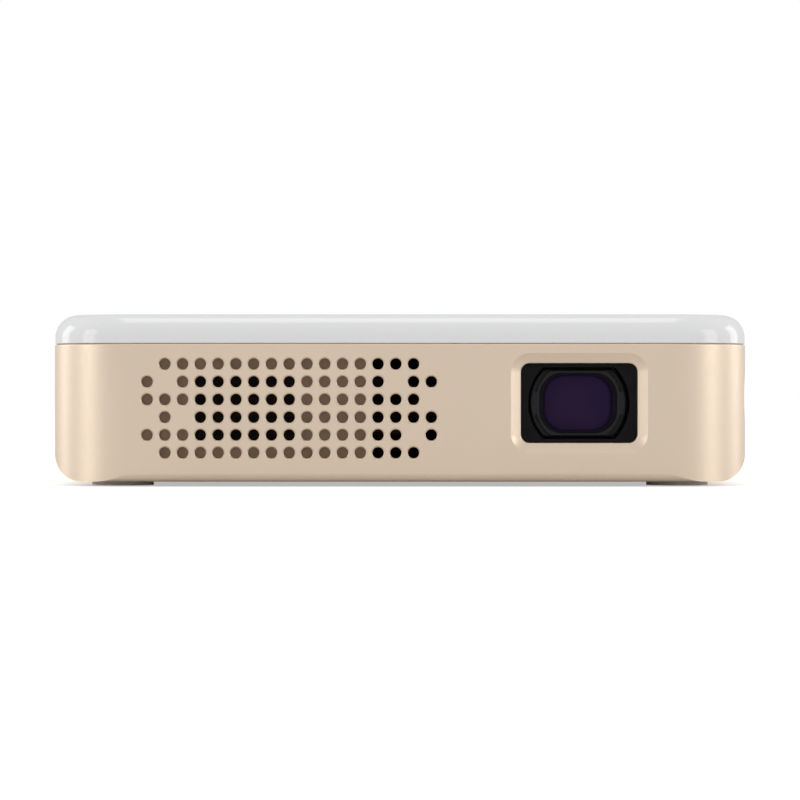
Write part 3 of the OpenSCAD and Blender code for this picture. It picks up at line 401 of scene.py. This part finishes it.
def white_cap():
    """Hard glossy plastic, with the slight waviness of a moulded panel."""
    f = Finish("white_cap", 0.0, Specular_IOR_Level=0.5, Coat_Weight=0.35, Coat_Roughness=0.03)
    f.colour(f.noise(30, 2), tones((0.89, 0.892, 0.896), 0.006))
    f.rough(f.noise(4, 3), 0.10, 0.16)
    f.bump(f.noise(12, 2), 0.004, 0.4)
    return f.material


def frosted_rubber():
    """Pale rubber with a fine matt skin."""
    f = Finish("clear_rubber", 0.0, Specular_IOR_Level=0.6)
    f.colour(f.noise(2), tones((0.90, 0.89, 0.87), 0.03))
    f.rough(f.noise(0.4, 4), 0.45, 0.6)
    f.bump(f.noise(0.15, 4), 0.01, 0.6)
    return f.material


def board_laminate():
    """Dark green solder mask, with the traces under it as lighter raised lines."""
    f = Finish("board_laminate", 0.1, Specular_IOR_Level=0.6)
    traces = f.cells(2.6, "DISTANCE_TO_EDGE")
    f.colour(traces, [(0.02, (0.035, 0.17, 0.11)), (0.06, (0.012, 0.075, 0.05))])
    f.rough(f.noise(0.5, 4), 0.3, 0.42)
    f.bump(traces, 0.02, 0.6)
    return f.material


def flex_film():
    """Polyimide film with parallel copper lines along Y."""
    f = Finish("flex_film", 0.0, Specular_IOR_Level=0.6, Coat_Weight=0.4)
    lines = f.waves(0.8, "X")
    f.colour(lines, [(0.35, (0.46, 0.21, 0.10)), (0.6, (0.66, 0.34, 0.18))])
    f.rough(f.noise(1, 3), 0.22, 0.34)
    f.bump(lines, 0.01, 0.5)
    return f.material


def coated_glass():
    """Lens glass: a deep violet anti-reflection coating over a black barrel."""
    f = Finish("coated_glass", 0.0, Specular_IOR_Level=0.16)
    f.shader.inputs["Specular Tint"].default_value = (0.55, 0.42, 1.0, 1)
    f.shader.inputs["IOR"].default_value = 1.52
    f.colour(f.noise(5, 1), [(0.35, (0.031, 0.0140, 0.045)), (0.65, (0.023, 0.0135, 0.047))])
    f.rough(f.noise(2, 2), 0.04, 0.07)
    f.bump(f.noise(3, 1), 0.0005, 0.2)
    return f.material


def clear_glass():
    """Optical glass of the prism."""
    f = Finish("clear_glass", 0.0, Transmission_Weight=0.95)
    f.shader.inputs["IOR"].default_value = 1.52
    f.colour(f.noise(5, 1), tones((0.86, 0.91, 0.93), 0.03))
    f.rough(f.noise(1, 2), 0.01, 0.04)
    f.bump(f.noise(1, 1), 0.0004, 0.2)
    return f.material


def pouch_foil():
    """Crinkled dark grey laminate of a battery pouch."""
    f = Finish("pouch_foil", 0.8)
    f.colour(f.noise(12, 2), tones((0.14, 0.143, 0.15), 0.08))
    f.rough(f.noise(2, 4), 0.28, 0.42)
    f.bump(f.noise(5, 3), 0.12, 0.5)
    return f.material


def speaker_pulp():
    """Black paper pulp, matt and cellular."""
    f = Finish("cone_paper", 0.0)
    f.colour(f.cells(0.35), tones((0.020, 0.019, 0.018), 0.3))
    f.rough(f.noise(0.3, 4), 0.75, 0.9)
    f.bump(f.cells(0.35), 0.03)
    return f.material


def make_materials():
    return {
        "anodised_tub": anodised_tub(),
        "white_cap": white_cap(),
        "clear_rubber": frosted_rubber(),
        "brass": brushed("brass", (0.62, 0.45, 0.20), 0.30, (20, 20, 1)),
        "graphite_plastic": plain("graphite_plastic", (0.012, 0.012, 0.013), 0.6),
        "pouch_foil": pouch_foil(),
        "lead_sleeve": plain("lead_sleeve", (0.035, 0.012, 0.012), 0.38, grain=0.3),
        "board_laminate": board_laminate(),
        "black_plastic": plain("black_plastic", (0.006, 0.006, 0.0065), 0.55, grain=0.1, depth=0.006,
                               Specular_IOR_Level=0.12),
        "nickel_steel": brushed("nickel_steel", (0.56, 0.55, 0.52), 0.30),
        "cast_engine": plain("cast_engine", (0.05, 0.05, 0.055), 0.5, 0.6, grain=0.25, depth=0.015),
        "barrel_plastic": plain("barrel_plastic", (0.014, 0.014, 0.016), 0.42, grain=0.08,
                                Specular_IOR_Level=0.3),
        "coated_glass": coated_glass(),
        "clear_glass": clear_glass(),
        "wheel_plastic": plain("wheel_plastic", (0.022, 0.022, 0.023), 0.48, grain=0.08, depth=0.006),
        "ceramic_chip": plain("ceramic_chip", (0.20, 0.18, 0.16), 0.5),
        "black_aluminium": brushed("black_aluminium", (0.03, 0.03, 0.032), 0.45),
        "flex_film": flex_film(),
        "copper": brushed("copper", (0.085, 0.050, 0.036), 0.42, (6, 6, 1)),
        "taupe_plastic": plain("taupe_plastic", (0.42, 0.33, 0.255), 0.6, grain=0.15, depth=0.01),
        "cone_paper": speaker_pulp(),
        "socket_steel": brushed("socket_steel", (0.66, 0.63, 0.60), 0.24),
        "jack_plastic": plain("jack_plastic", (0.040, 0.015, 0.008), 0.4, grain=0.1),
        "socket_plastic": plain("socket_plastic", (0.012, 0.011, 0.010), 0.5, grain=0.1),
    }


MATERIALS = make_materials()


def dress_cad_nodes():
    """Every carried-over CAD node gets the procedural material of its slot."""
    for row in frame["record"]["subparts"]:
        obj = frame["nodes"][row["node"]]
        finish = MATERIALS[row["material_slot"]]
        if not obj.material_slots:
            obj.data.materials.append(finish)
        for i in range(len(obj.material_slots)):
            obj.material_slots[i].material = finish


def adopt(obj, body, slot, *nodes):
    """Rides on a body and stands for CAD nodes, which it hides; its slot argument is not used."""
    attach(obj, body)
    if nodes:
        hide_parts(*nodes)


# ------------------------------------------------------------------ tub


def profile(half, z0, z1, r, steps=20):
    """A section with its two lower corners rounded, as (across, up)."""
    points = [(half, z1), (-half, z1)]
    for sx, start in ((-1, 180), (1, 270)):
        for i in range(steps + 1):
            a = math.radians(start + 90 * i / steps)
            points.append((sx * (half - r) + r * math.cos(a), z0 + r + r * math.sin(a)))
    return points


def block(inset, z0, z1, plan_r, side_r, end_r, rim=((0.0, 0.0),)):
    """The plan outline cut by the cross-section and by the lengthwise section."""
    half_w, half_l = SIDE_X - inset, END_Y - inset
    rings = [(z0 - CLEAR, 0.0)] + [(z1 - drop, back) for drop, back in rim]
    plan = loft([
        [(x, y, z) for x, y in rounded_rect(2 * (half_w - back), 2 * (half_l - back), plan_r - back, 32)]
        for z, back in rings
    ])
    solid = to_object(plan, "block")
    far, above = 200, z1 + 5
    across = [
        [(x, s * far, z) for x, z in profile(half_w, z0, above, side_r)] for s in (-1, 1)
    ]
    boolean(solid, to_object(loft(across), "across"), "INTERSECT")
    along = [
        [(s * far, y, z) for y, z in profile(half_l, z0, above, end_r, 8)] for s in (-1, 1)
    ]
    boolean(solid, to_object(loft(along), "along"), "INTERSECT")
    return solid


# Each outline below is a function of growth, so that a cut can widen towards the face


def stadium(length, width, steps):
    return lambda grow: rounded_rect(length + 2 * grow, width + 2 * grow, width / 2 + grow, steps)


def upright_slot(length, width, steps):
    return lambda grow: rounded_rect(width + 2 * grow, length + 2 * grow, width / 2 + grow, steps)


def box_outline(length, width, r, steps):
    return lambda grow: rounded_rect(length + 2 * grow, width + 2 * grow, r + max(grow, -r * 0.9), steps)


def disc(r, steps):
    return lambda grow: circle(r + grow, steps)


def hole_levels(chamfer):
    """A hole through the wall with a small countersink."""
    return [(-WALL - 1.2, 0.0), (-chamfer, 0.0), (0.0, chamfer), (0.4, chamfer + 0.4)]


def grille_places():
    """The grille's holes, as (x, z)."""
    for col in range(GRILLE_COLS):
        for line in range(GRILLE_ROWS):
            if (col, line) not in GRILLE_BLANKS:
                yield (
                    GRILLE_X + (col - (GRILLE_COLS - 1) / 2) * GRILLE_PITCH,
                    GRILLE_Z - (line - (GRILLE_ROWS - 1) / 2) * GRILLE_PITCH,
                )


def cut_grille(bm):
    for x, z in grille_places():
        add_loft(bm, stack(place("front", x, z), disc(GRILLE_R, 32), hole_levels(0.13)))


def cut_vents(bm, side, middle, z, count, pitch, width, length):
    for i in range(count):
        at = place(side, middle + (i - (count - 1) / 2) * pitch, z)
        add_loft(bm, stack(at, upright_slot(length, width, 12), hole_levels(0.14)))


def dish_levels(depth, flare):
    """A concave rim from the flat bottom up to the face, with softened edges."""
    shape = ((0.0, 0.0), (0.02, 0.16), (0.12, 0.38), (0.38, 0.66), (0.72, 0.88), (0.93, 0.985), (1.0, 1.03))
    levels = [(-depth + rise * depth, flare * out) for rise, out in shape]
    return levels + [(0.3, flare * 1.12)]


def hdmi_outline(grow):
    """The socket's keyed outline, its wide side at v = 0."""
    half = 7.5 + grow
    slope = 5.2 + 0.6 * grow
    return [
        (-half, -grow), (half, -grow), (half, 4.15 + grow), (6.45 + grow, 4.35 + grow),
        (slope, 5.9 + grow), (-slope, 5.9 + grow), (-6.45 - grow, 4.35 + grow), (-half, 4.15 + grow),
    ]


def tub_cutters():
    """The grille, vents, window, dishes, sockets and underside recesses, as one mesh."""
    bm = bmesh.new()
    cut_grille(bm)
    for row in VENTS:
        cut_vents(bm, *row)
    # Lens window: a pocket with sloping sides, then the opening
    window_levels = [(THROUGH, 0.0), (-0.74, 0.0), (-0.66, 0.05), (-0.6, 0.14), (-0.56, 0.28),
                     (-0.10, 1.06), (-0.04, 1.14), (0.0, 1.24), (0.4, 1.9)]
    add_loft(bm, stack(place("front", LENS_X, LENS_Z), box_outline(13.25, 9.05, 1.0, 12), window_levels))
    # Dish of the focus wheel
    add_loft(bm, stack(place("left", WHEEL_Y, WHEEL_Z), stadium(15.3, 5.5, 32), dish_levels(0.9, 1.25)))
    # Hole and dish of the power button
    button_levels = [(THROUGH, 0.0), (-0.46, 0.0), (-0.42, 0.06), (-0.34, 0.3), (-0.22, 0.7),
                     (-0.10, 1.05), (-0.03, 1.22), (0.0, 1.34), (0.3, 1.7)]
    add_loft(bm, stack(place("right", BUTTON_Y, BUTTON_Z), stadium(11.0, 4.9, 32), button_levels))
    # Sockets
    hdmi_levels = [(THROUGH, 0.4), (-0.15, 0.4), (0.0, 0.55), (0.3, 0.85)]
    add_loft(bm, stack(place("right", HDMI_Y, HDMI_Z), hdmi_outline, hdmi_levels))
    add_loft(bm, stack(place("right", USB_A_Y, USB_A_Z), box_outline(13.9, 6.6, 0.7, 8), hole_levels(0.15)))
    usb_c_levels = [(THROUGH, 0.0), (-0.42, 0.0), (-0.38, 0.03), (-0.03, 0.38), (0.0, 0.42), (0.3, 0.72)]
    add_loft(bm, stack(place("rear", USB_C_X, USB_C_Z), stadium(USB_C_L, USB_C_W, 20), usb_c_levels))
    add_loft(bm, stack(place("rear", JACK_X, JACK_Z), disc(JACK_R, 64), hole_levels(0.16)))
    add_loft(bm, stack(place("rear", PINHOLE_X, PINHOLE_Z), disc(PINHOLE_R, 32), hole_levels(0.12)))
    # Underside: the feet's recesses and the tripod insert's hole
    for sx in (-1, 1):
        for sy in (-1, 1):
            recess = shifted(circle(FOOT_RECESS_R, 48), sx * FOOT_X, sy * FOOT_Y)
            add_loft(bm, prism(recess, TUB_Z - 1, TUB_Z + 0.5))
    add_loft(bm, prism(shifted(circle(TRIPOD_R, 64), 0, TRIPOD_Y), TUB_Z - 1, FLOOR_Z + 1))
    return to_object(bm, "cutters")


def wheel_slot_cutter():
    """The wheel's slot and ticks, and the grooves for the cap's hooks."""
    bm = bmesh.new()
    slot_at = place("left", WHEEL_Y, WHEEL_Z)
    add_loft(bm, stack(slot_at, box_outline(8.65, 3.6, 0.08, 2), [(THROUGH, 0.0), (CLEAR, 0.0)]))
    # Three fine ticks across the rim on each long side of the dish
    for side in (-1, 1):
        for i in (-1, 0, 1):
            at = place("left", WHEEL_Y + i * 0.95, WHEEL_Z + side * 3.75)
            add_loft(bm, stack(at, box_outline(0.22, 0.75, 0.1, 4), [(-0.28, 0.0), (CLEAR, 0.0)]))
    for y in HOOK_PLACES:
        for s in (-1, 1):
            x = s * (SIDE_X - WALL)
            add_loft(bm, upright_box(x, y, 0.45, 4.5, SEAM_Z - 1.55, SEAM_Z - 0.45))
    return to_object(bm, "slots")


def mitre_creases(mesh):
    """Marks the crease where a lower edge's round meets an upright corner's round."""
    bm = bmesh.new()
    bm.from_mesh(mesh)

    def is_corner(n):
        return abs(n.z) < 1e-3 and abs(n.x) > 1e-3 and abs(n.y) > 1e-3

    def is_edge_round(n):
        return -0.9999 < n.z < -1e-3 and min(abs(n.x), abs(n.y)) < 1e-3

    for edge in bm.edges:
        if len(edge.link_faces) == 2:
            a, b = (f.normal for f in edge.link_faces)
            if (is_corner(a) and is_edge_round(b)) or (is_corner(b) and is_edge_round(a)):
                edge.smooth = False
    bm.to_mesh(mesh)
    bm.free()


def build_tub():
    """The shell: outside less inside, then everything that pierces it."""
    rim = ((0.2, 0.0), (0.12, 0.015), (0.05, 0.05), (0.0, 0.12))
    tub = block(0.0, TUB_Z, SEAM_Z, CORNER_R, EDGE_R, END_R, rim)
    boolean(tub, block(WALL, FLOOR_Z, SEAM_Z + 2, CORNER_R - WALL, EDGE_R - WALL, 0.5), "DIFFERENCE")
    boolean(tub, tub_cutters(), "DIFFERENCE")
    boolean(tub, wheel_slot_cutter(), "DIFFERENCE")
    tidy(tub)
    tub.name = tub.data.name = "tub_shell"
    finish_solid(tub, "anodised_tub")
    shade(tub, 32, mitre_creases)
    adopt(tub, "chassis", "anodised_tub", "tub")


# ------------------------------------------------------------------ cap


def build_cap():
    """The snap-on cap: a rounded lid with a lip and six hooks inside the tub."""
    half_w, half_l = SIDE_X - 0.05, END_Y - 0.05
    start = SEAM_Z + 0.04
    levels = [(start, 0.16), (start + 0.04, 0.06), (start + 0.12, 0.0)]
    edge_z = TOP_Z - CAP_R
    steps = 24
    for i in range(steps + 1):
        a = math.radians(90 * i / steps)
        levels.append((edge_z + CAP_R * math.sin(a), CAP_R * (1 - math.cos(a))))
    outer = loft([
        [(x, y, z) for x, y in rounded_rect(2 * (half_w - d), 2 * (half_l - d), CORNER_R - d, 32)]
        for z, d in levels
    ])
    cap = to_object(outer, "cap_shell")
    lip_x, lip_y = SIDE_X - WALL - CAP_SLACK, END_Y - WALL - CAP_SLACK
    lip_outline = rounded_rect(2 * lip_x, 2 * lip_y, CORNER_R - WALL - CAP_SLACK, 16)
    lip = to_object(loft(prism(lip_outline, SEAM_Z - 1.5, SEAM_Z + 0.6)), "lip")
    hooks = bmesh.new()
    for y in HOOK_PLACES:
        for s in (-1, 1):
            add_loft(hooks, upright_box(s * lip_x, y, 0.35, 4, SEAM_Z - 1.35, SEAM_Z - 0.65))
    inside = 2 * (WALL + CAP_SLACK + LIP_T)
    cavity_outline = rounded_rect(2 * SIDE_X - inside, 2 * END_Y - inside, CORNER_R - inside / 2, 16)
    cavity = loft(prism(cavity_outline, SEAM_Z - 3, TOP_Z - CAP_T))
    boolean(cap, lip, "UNION")
    boolean(cap, to_object(hooks, "hooks"), "UNION")
    boolean(cap, to_object(cavity, "cavity"), "DIFFERENCE")
    tidy(cap)
    finish_solid(cap, "white_cap")
    shade(cap, 32)
    adopt(cap, "chassis", "white_cap", "top_cap")


# ------------------------------------------------------------------ lens


def flats(r, flat):
    """A circle cut flat above and below."""
    return [(x, max(-flat, min(flat, y))) for x, y in circle(r, 96)]


def arc_band(r0, r1, start, end, steps=16):
    """A band between two radii and two angles."""
    angles = [math.radians(start + (end - start) * i / steps) for i in range(steps + 1)]
    return ([(r1 * math.cos(a), r1 * math.sin(a)) for a in angles]
            + [(r0 * math.cos(a), r0 * math.sin(a)) for a in reversed(angles)])


def build_retainer():
    """The barrel's front ring: a rim, four dark arcs and a stepped opening."""
    low, high = (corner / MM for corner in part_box("lens_retainer"))
    at = place("front", LENS_X, LENS_Z)
    face = -(low.y + END_Y)
    back = -(high.y + END_Y)
    ledge = face - 0.5
    bm = bmesh.new()
    rim = [(back, 0.0), (face - 0.1, 0.0), (face - 0.03, -0.03), (face, -0.1)]
    add_loft(bm, [[at(u, v, w) for u, v in flats(5.44 + g, 3.74 + g)] for w, g in rim])
    ring = to_object(bm, "lens_ring")
    cuts = bmesh.new()
    opening = box_outline(8.05, 6.5, 2.4, 16)
    step = box_outline(8.85, 6.86, 2.6, 16)
    inner = stack(at, opening, [(back - 1, 0.0), (ledge, 0.0)])
    outer = stack(at, step, [(ledge, 0.0), (face - 0.06, 0.0), (face + 0.02, 0.06), (face + 0.5, 0.4)])
    add_loft(cuts, inner + outer)
    for start in (15, 127, 195, 307):
        add_loft(cuts, push(at, arc_band(4.88, 5.24, start, start + 38), face - 0.7, face + 0.5))
    boolean(ring, to_object(cuts, "ring_cuts"), "DIFFERENCE")
    tidy(ring)
    finish_solid(ring, "barrel_plastic")
    shade(ring, 35)
    adopt(ring, "lens_group", "barrel_plastic", "lens_retainer")
    # Painted shade: a near-black ring on the ledge round the glass, darker than the barrel, so that the gap
    # round the glass reads as shadow
    shade_band = bmesh.new()
    low_w, high_w = face - 0.49, face - 0.44
    add_tube(shade_band, push(at, step(-0.01), low_w, high_w) + push(at, opening(0.0), high_w, low_w))
    shade_ring = to_object(shade_band, "lens_painted_shade", MATERIALS["black_plastic"])
    shade(shade_ring, 30)
    adopt(shade_ring, "lens_group", "black_plastic")


# ------------------------------------------------------------------ sockets


def sleeve(at, outline, thick, back, face, name, material):
    """A sheet-metal tube with a small rounded lip at the face."""
    levels = [(back, 0.0), (face - 0.06, 0.0), (face, -0.06), (face, 0.08 - thick),
              (face - 0.08, -thick), (back, -thick)]
    bm = bmesh.new()
    add_tube(bm, stack(at, outline, levels))
    return to_object(bm, name, material)


def build_hdmi_shell():
    """The shell with the two sprung tabs that press on the plug's wide side."""
    at = place("right", HDMI_Y, HDMI_Z)
    shell = sleeve(at, hdmi_outline, 0.35, -11.4, -0.4, "hdmi_sleeve", MATERIALS["socket_steel"])
    shade(shell, 32)
    adopt(shell, "chassis", "socket_steel", "hdmi_shell")
    springs = bmesh.new()
    for side in (-1, 1):
        crescent = shifted(arc_band(1.05, 1.3, 32, 148, 18), side * 4.45, -0.35)
        add_loft(springs, push(at, crescent, -4.6, -1.3))
    tabs = to_object(springs, "hdmi_springs", MATERIALS["socket_steel"])
    shade(tabs, 40)
    adopt(tabs, "chassis", "socket_steel")


def build_usb_c_trim():
    """The bright cut chamfer round the charging socket, as a thin skin on the tub."""
    at = place("rear", USB_C_X, USB_C_Z)
    skin = [(-0.40, 0.005), (-0.36, 0.03), (-0.03, 0.36), (-0.012, 0.42)]
    under = [(w - 0.03, g + 0.03) for w, g in reversed(skin)]
    bm = bmesh.new()
    add_tube(bm, stack(at, stadium(USB_C_L, USB_C_W, 24), skin + under))
    trim = to_object(bm, "usb_c_trim", MATERIALS["socket_steel"])
    shade(trim, 40)
    adopt(trim, "chassis", "socket_steel")


def build_usb_c_face():
    """The keyed throat inside the charging socket, and the pads on its tongue."""
    at = place("rear", USB_C_X, USB_C_Z)
    face = -0.75
    behind, before = face - 1, face + 0.5
    throat = to_object(loft(push(at, stadium(8.3, 2.56, 20)(0.0), face - 0.5, face)), "usb_c_throat")
    keys = [box_outline(7.5, 1.7, 0.8, 10)(0.0)]
    for u, width in ((-2.9, 1.5), (0, 2.4), (2.9, 1.5)):
        keys.append(shifted(rounded_rect(width, 2.35, 0.3, 6), u, 0))
    for key in keys:
        boolean(throat, to_object(loft(push(at, key, behind, before)), "throat_cut"), "DIFFERENCE")
    finish_solid(throat, "socket_plastic")
    shade(throat, 32)
    adopt(throat, "chassis", "socket_plastic")
    pads = bmesh.new()
    for i in range(7):
        pad = shifted(rounded_rect(0.42, 0.4, 0.1, 4), (i - 3) * 0.86, -0.33)
        add_loft(pads, push(at, pad, -1.25, -1.0))
    row = to_object(pads, "usb_c_pads", MATERIALS["brass"])
    shade(row, 30)
    adopt(row, "chassis", "brass")


# ------------------------------------------------------------------ other parts


def soften_cad_nodes():
    """Small edge rounds on CAD parts that can be seen."""
    feet = ("foot_front_left", "foot_front_right", "foot_rear_left", "foot_rear_right")
    widths = {
        **dict.fromkeys(feet, 0.04),
        "power_button": 0.22, "tripod_insert": 0.15, "lens_hood": 0.1, "focus_wheel": 0.05,
        "usb_a_shell": 0.06, "usb_c_shell": 0.05, "audio_jack": 0.12,
    }
    for node, width in widths.items():
        soften(frame["nodes"][node], width)


# ------------------------------------------------------------------ studio


HORIZON_LIGHT = 0.71
ZENITH_LIGHT = 0.66
FLOOR_GLOW = 0.47

# The floor lies just under the feet, so that no two faces coincide
FLOOR_DROP = 0.05 * MM

# Softboxes, in metres and watts
TOP_HEIGHT, TOP_SIZE, TOP_WATTS = 1.1, (0.5, 0.6), 1.45
CORNER_X, CORNER_Y, CORNER_HEIGHT = 1.09, 0.48, 0.3
CORNER_SIZE, CORNER_WATTS = (0.42, 0.7), 1.5

# The camera's lens, and how much of the picture's width the object fills
LENS_MM, SENSOR_MM = 180, 36
FRAME_FILL = 0.88


def softbox(name, location, target, size, power):
    """A rectangular area light that faces a target."""
    data = bpy.data.lights.new(name, "AREA")
    data.shape = "RECTANGLE"
    data.size, data.size_y = size
    data.energy = power
    lamp = bpy.data.objects.new(name, data)
    bpy.context.scene.collection.objects.link(lamp)
    lamp.location = location
    lamp.rotation_euler = (Vector(target) - Vector(location)).to_track_quat("-Z", "Y").to_euler()


def build_world():
    """Plain white behind the object; as a light it is dimmer, with a slope from horizon to zenith."""
    world = bpy.data.worlds.new("studio")
    bpy.context.scene.world = world
    world.use_nodes = True
    nodes, links = world.node_tree.nodes, world.node_tree.links
    split = nodes.new("ShaderNodeSeparateXYZ")
    links.new(nodes.new("ShaderNodeTexCoord").outputs["Generated"], split.inputs["Vector"])
    height = nodes.new("ShaderNodeMapRange")
    height.inputs["From Min"].default_value = 0.0
    height.inputs["From Max"].default_value = 0.8
    height.inputs["To Min"].default_value = HORIZON_LIGHT
    height.inputs["To Max"].default_value = ZENITH_LIGHT
    links.new(split.outputs["Z"], height.inputs["Value"])
    choose = nodes.new("ShaderNodeMix")
    links.new(nodes.new("ShaderNodeLightPath").outputs["Is Camera Ray"], choose.inputs["Factor"])
    links.new(height.outputs["Result"], choose.inputs["A"])
    choose.inputs["B"].default_value = 1.0
    background = nodes["Background"]
    background.inputs["Color"].default_value = (1, 1, 1, 1)
    links.new(choose.outputs["Result"], background.inputs["Strength"])


def build_floor():
    """A large round sheet of pale paper, lifted to white for the camera alone."""
    bm = bmesh.new()
    bmesh.ops.create_circle(bm, cap_ends=True, segments=128, radius=3.0)
    mesh = bpy.data.meshes.new("paper")
    bm.to_mesh(mesh)
    bm.free()
    floor = bpy.data.objects.new("paper", mesh)
    bpy.context.scene.collection.objects.link(floor)
    f = Finish("studio_paper", 0.0, Specular_IOR_Level=0.1)
    f.shader.inputs["Emission Color"].default_value = (1, 1, 1, 1)
    glow = f.nodes.new("ShaderNodeMath")
    glow.operation = "MULTIPLY"
    glow.inputs[1].default_value = FLOOR_GLOW
    f.links.new(f.nodes.new("ShaderNodeLightPath").outputs["Is Camera Ray"], glow.inputs[0])
    f.links.new(glow.outputs["Value"], f.shader.inputs["Emission Strength"])
    f.colour(f.noise(400, 2), tones((0.8, 0.8, 0.8), 0.003))
    f.rough(f.noise(50, 3), 0.85, 0.95)
    mesh.materials.append(f.material)
    floor.location.z = -FLOOR_DROP


def build_studio():
    build_world()
    build_floor()
    softbox("top", (0, 0, TOP_HEIGHT), (0, 0, 0), TOP_SIZE, TOP_WATTS)
    for end, sy in (("front", -1), ("rear", 1)):
        for side, sx in (("left", 1), ("right", -1)):
            location = (sx * CORNER_X, sy * CORNER_Y, CORNER_HEIGHT)
            softbox(f"{end}_{side}", location, (0, 0, 0.01), CORNER_SIZE, CORNER_WATTS)


def build_camera():
    """Straight at the front, level with the object's middle."""
    data = bpy.data.cameras.new("camera")
    data.lens = LENS_MM
    data.sensor_width = SENSOR_MM
    camera = bpy.data.objects.new("camera", data)
    bpy.context.scene.collection.objects.link(camera)
    middle = (TOP_Z / 2) * MM
    width = 2 * SIDE_X * MM / FRAME_FILL
    distance = width * data.lens / data.sensor_width
    camera.location = (0, -END_Y * MM - distance, middle)
    camera.rotation_euler = (math.radians(90), 0, 0)
    data.clip_start, data.clip_end = 0.01, 50
    bpy.context.scene.camera = camera


bpy.context.scene.view_settings.view_transform = "Standard"
build_camera()
dress_cad_nodes()
build_tub()
build_cap()
build_retainer()
build_hdmi_shell()
build_usb_c_trim()
build_usb_c_face()
soften_cad_nodes()
build_studio()
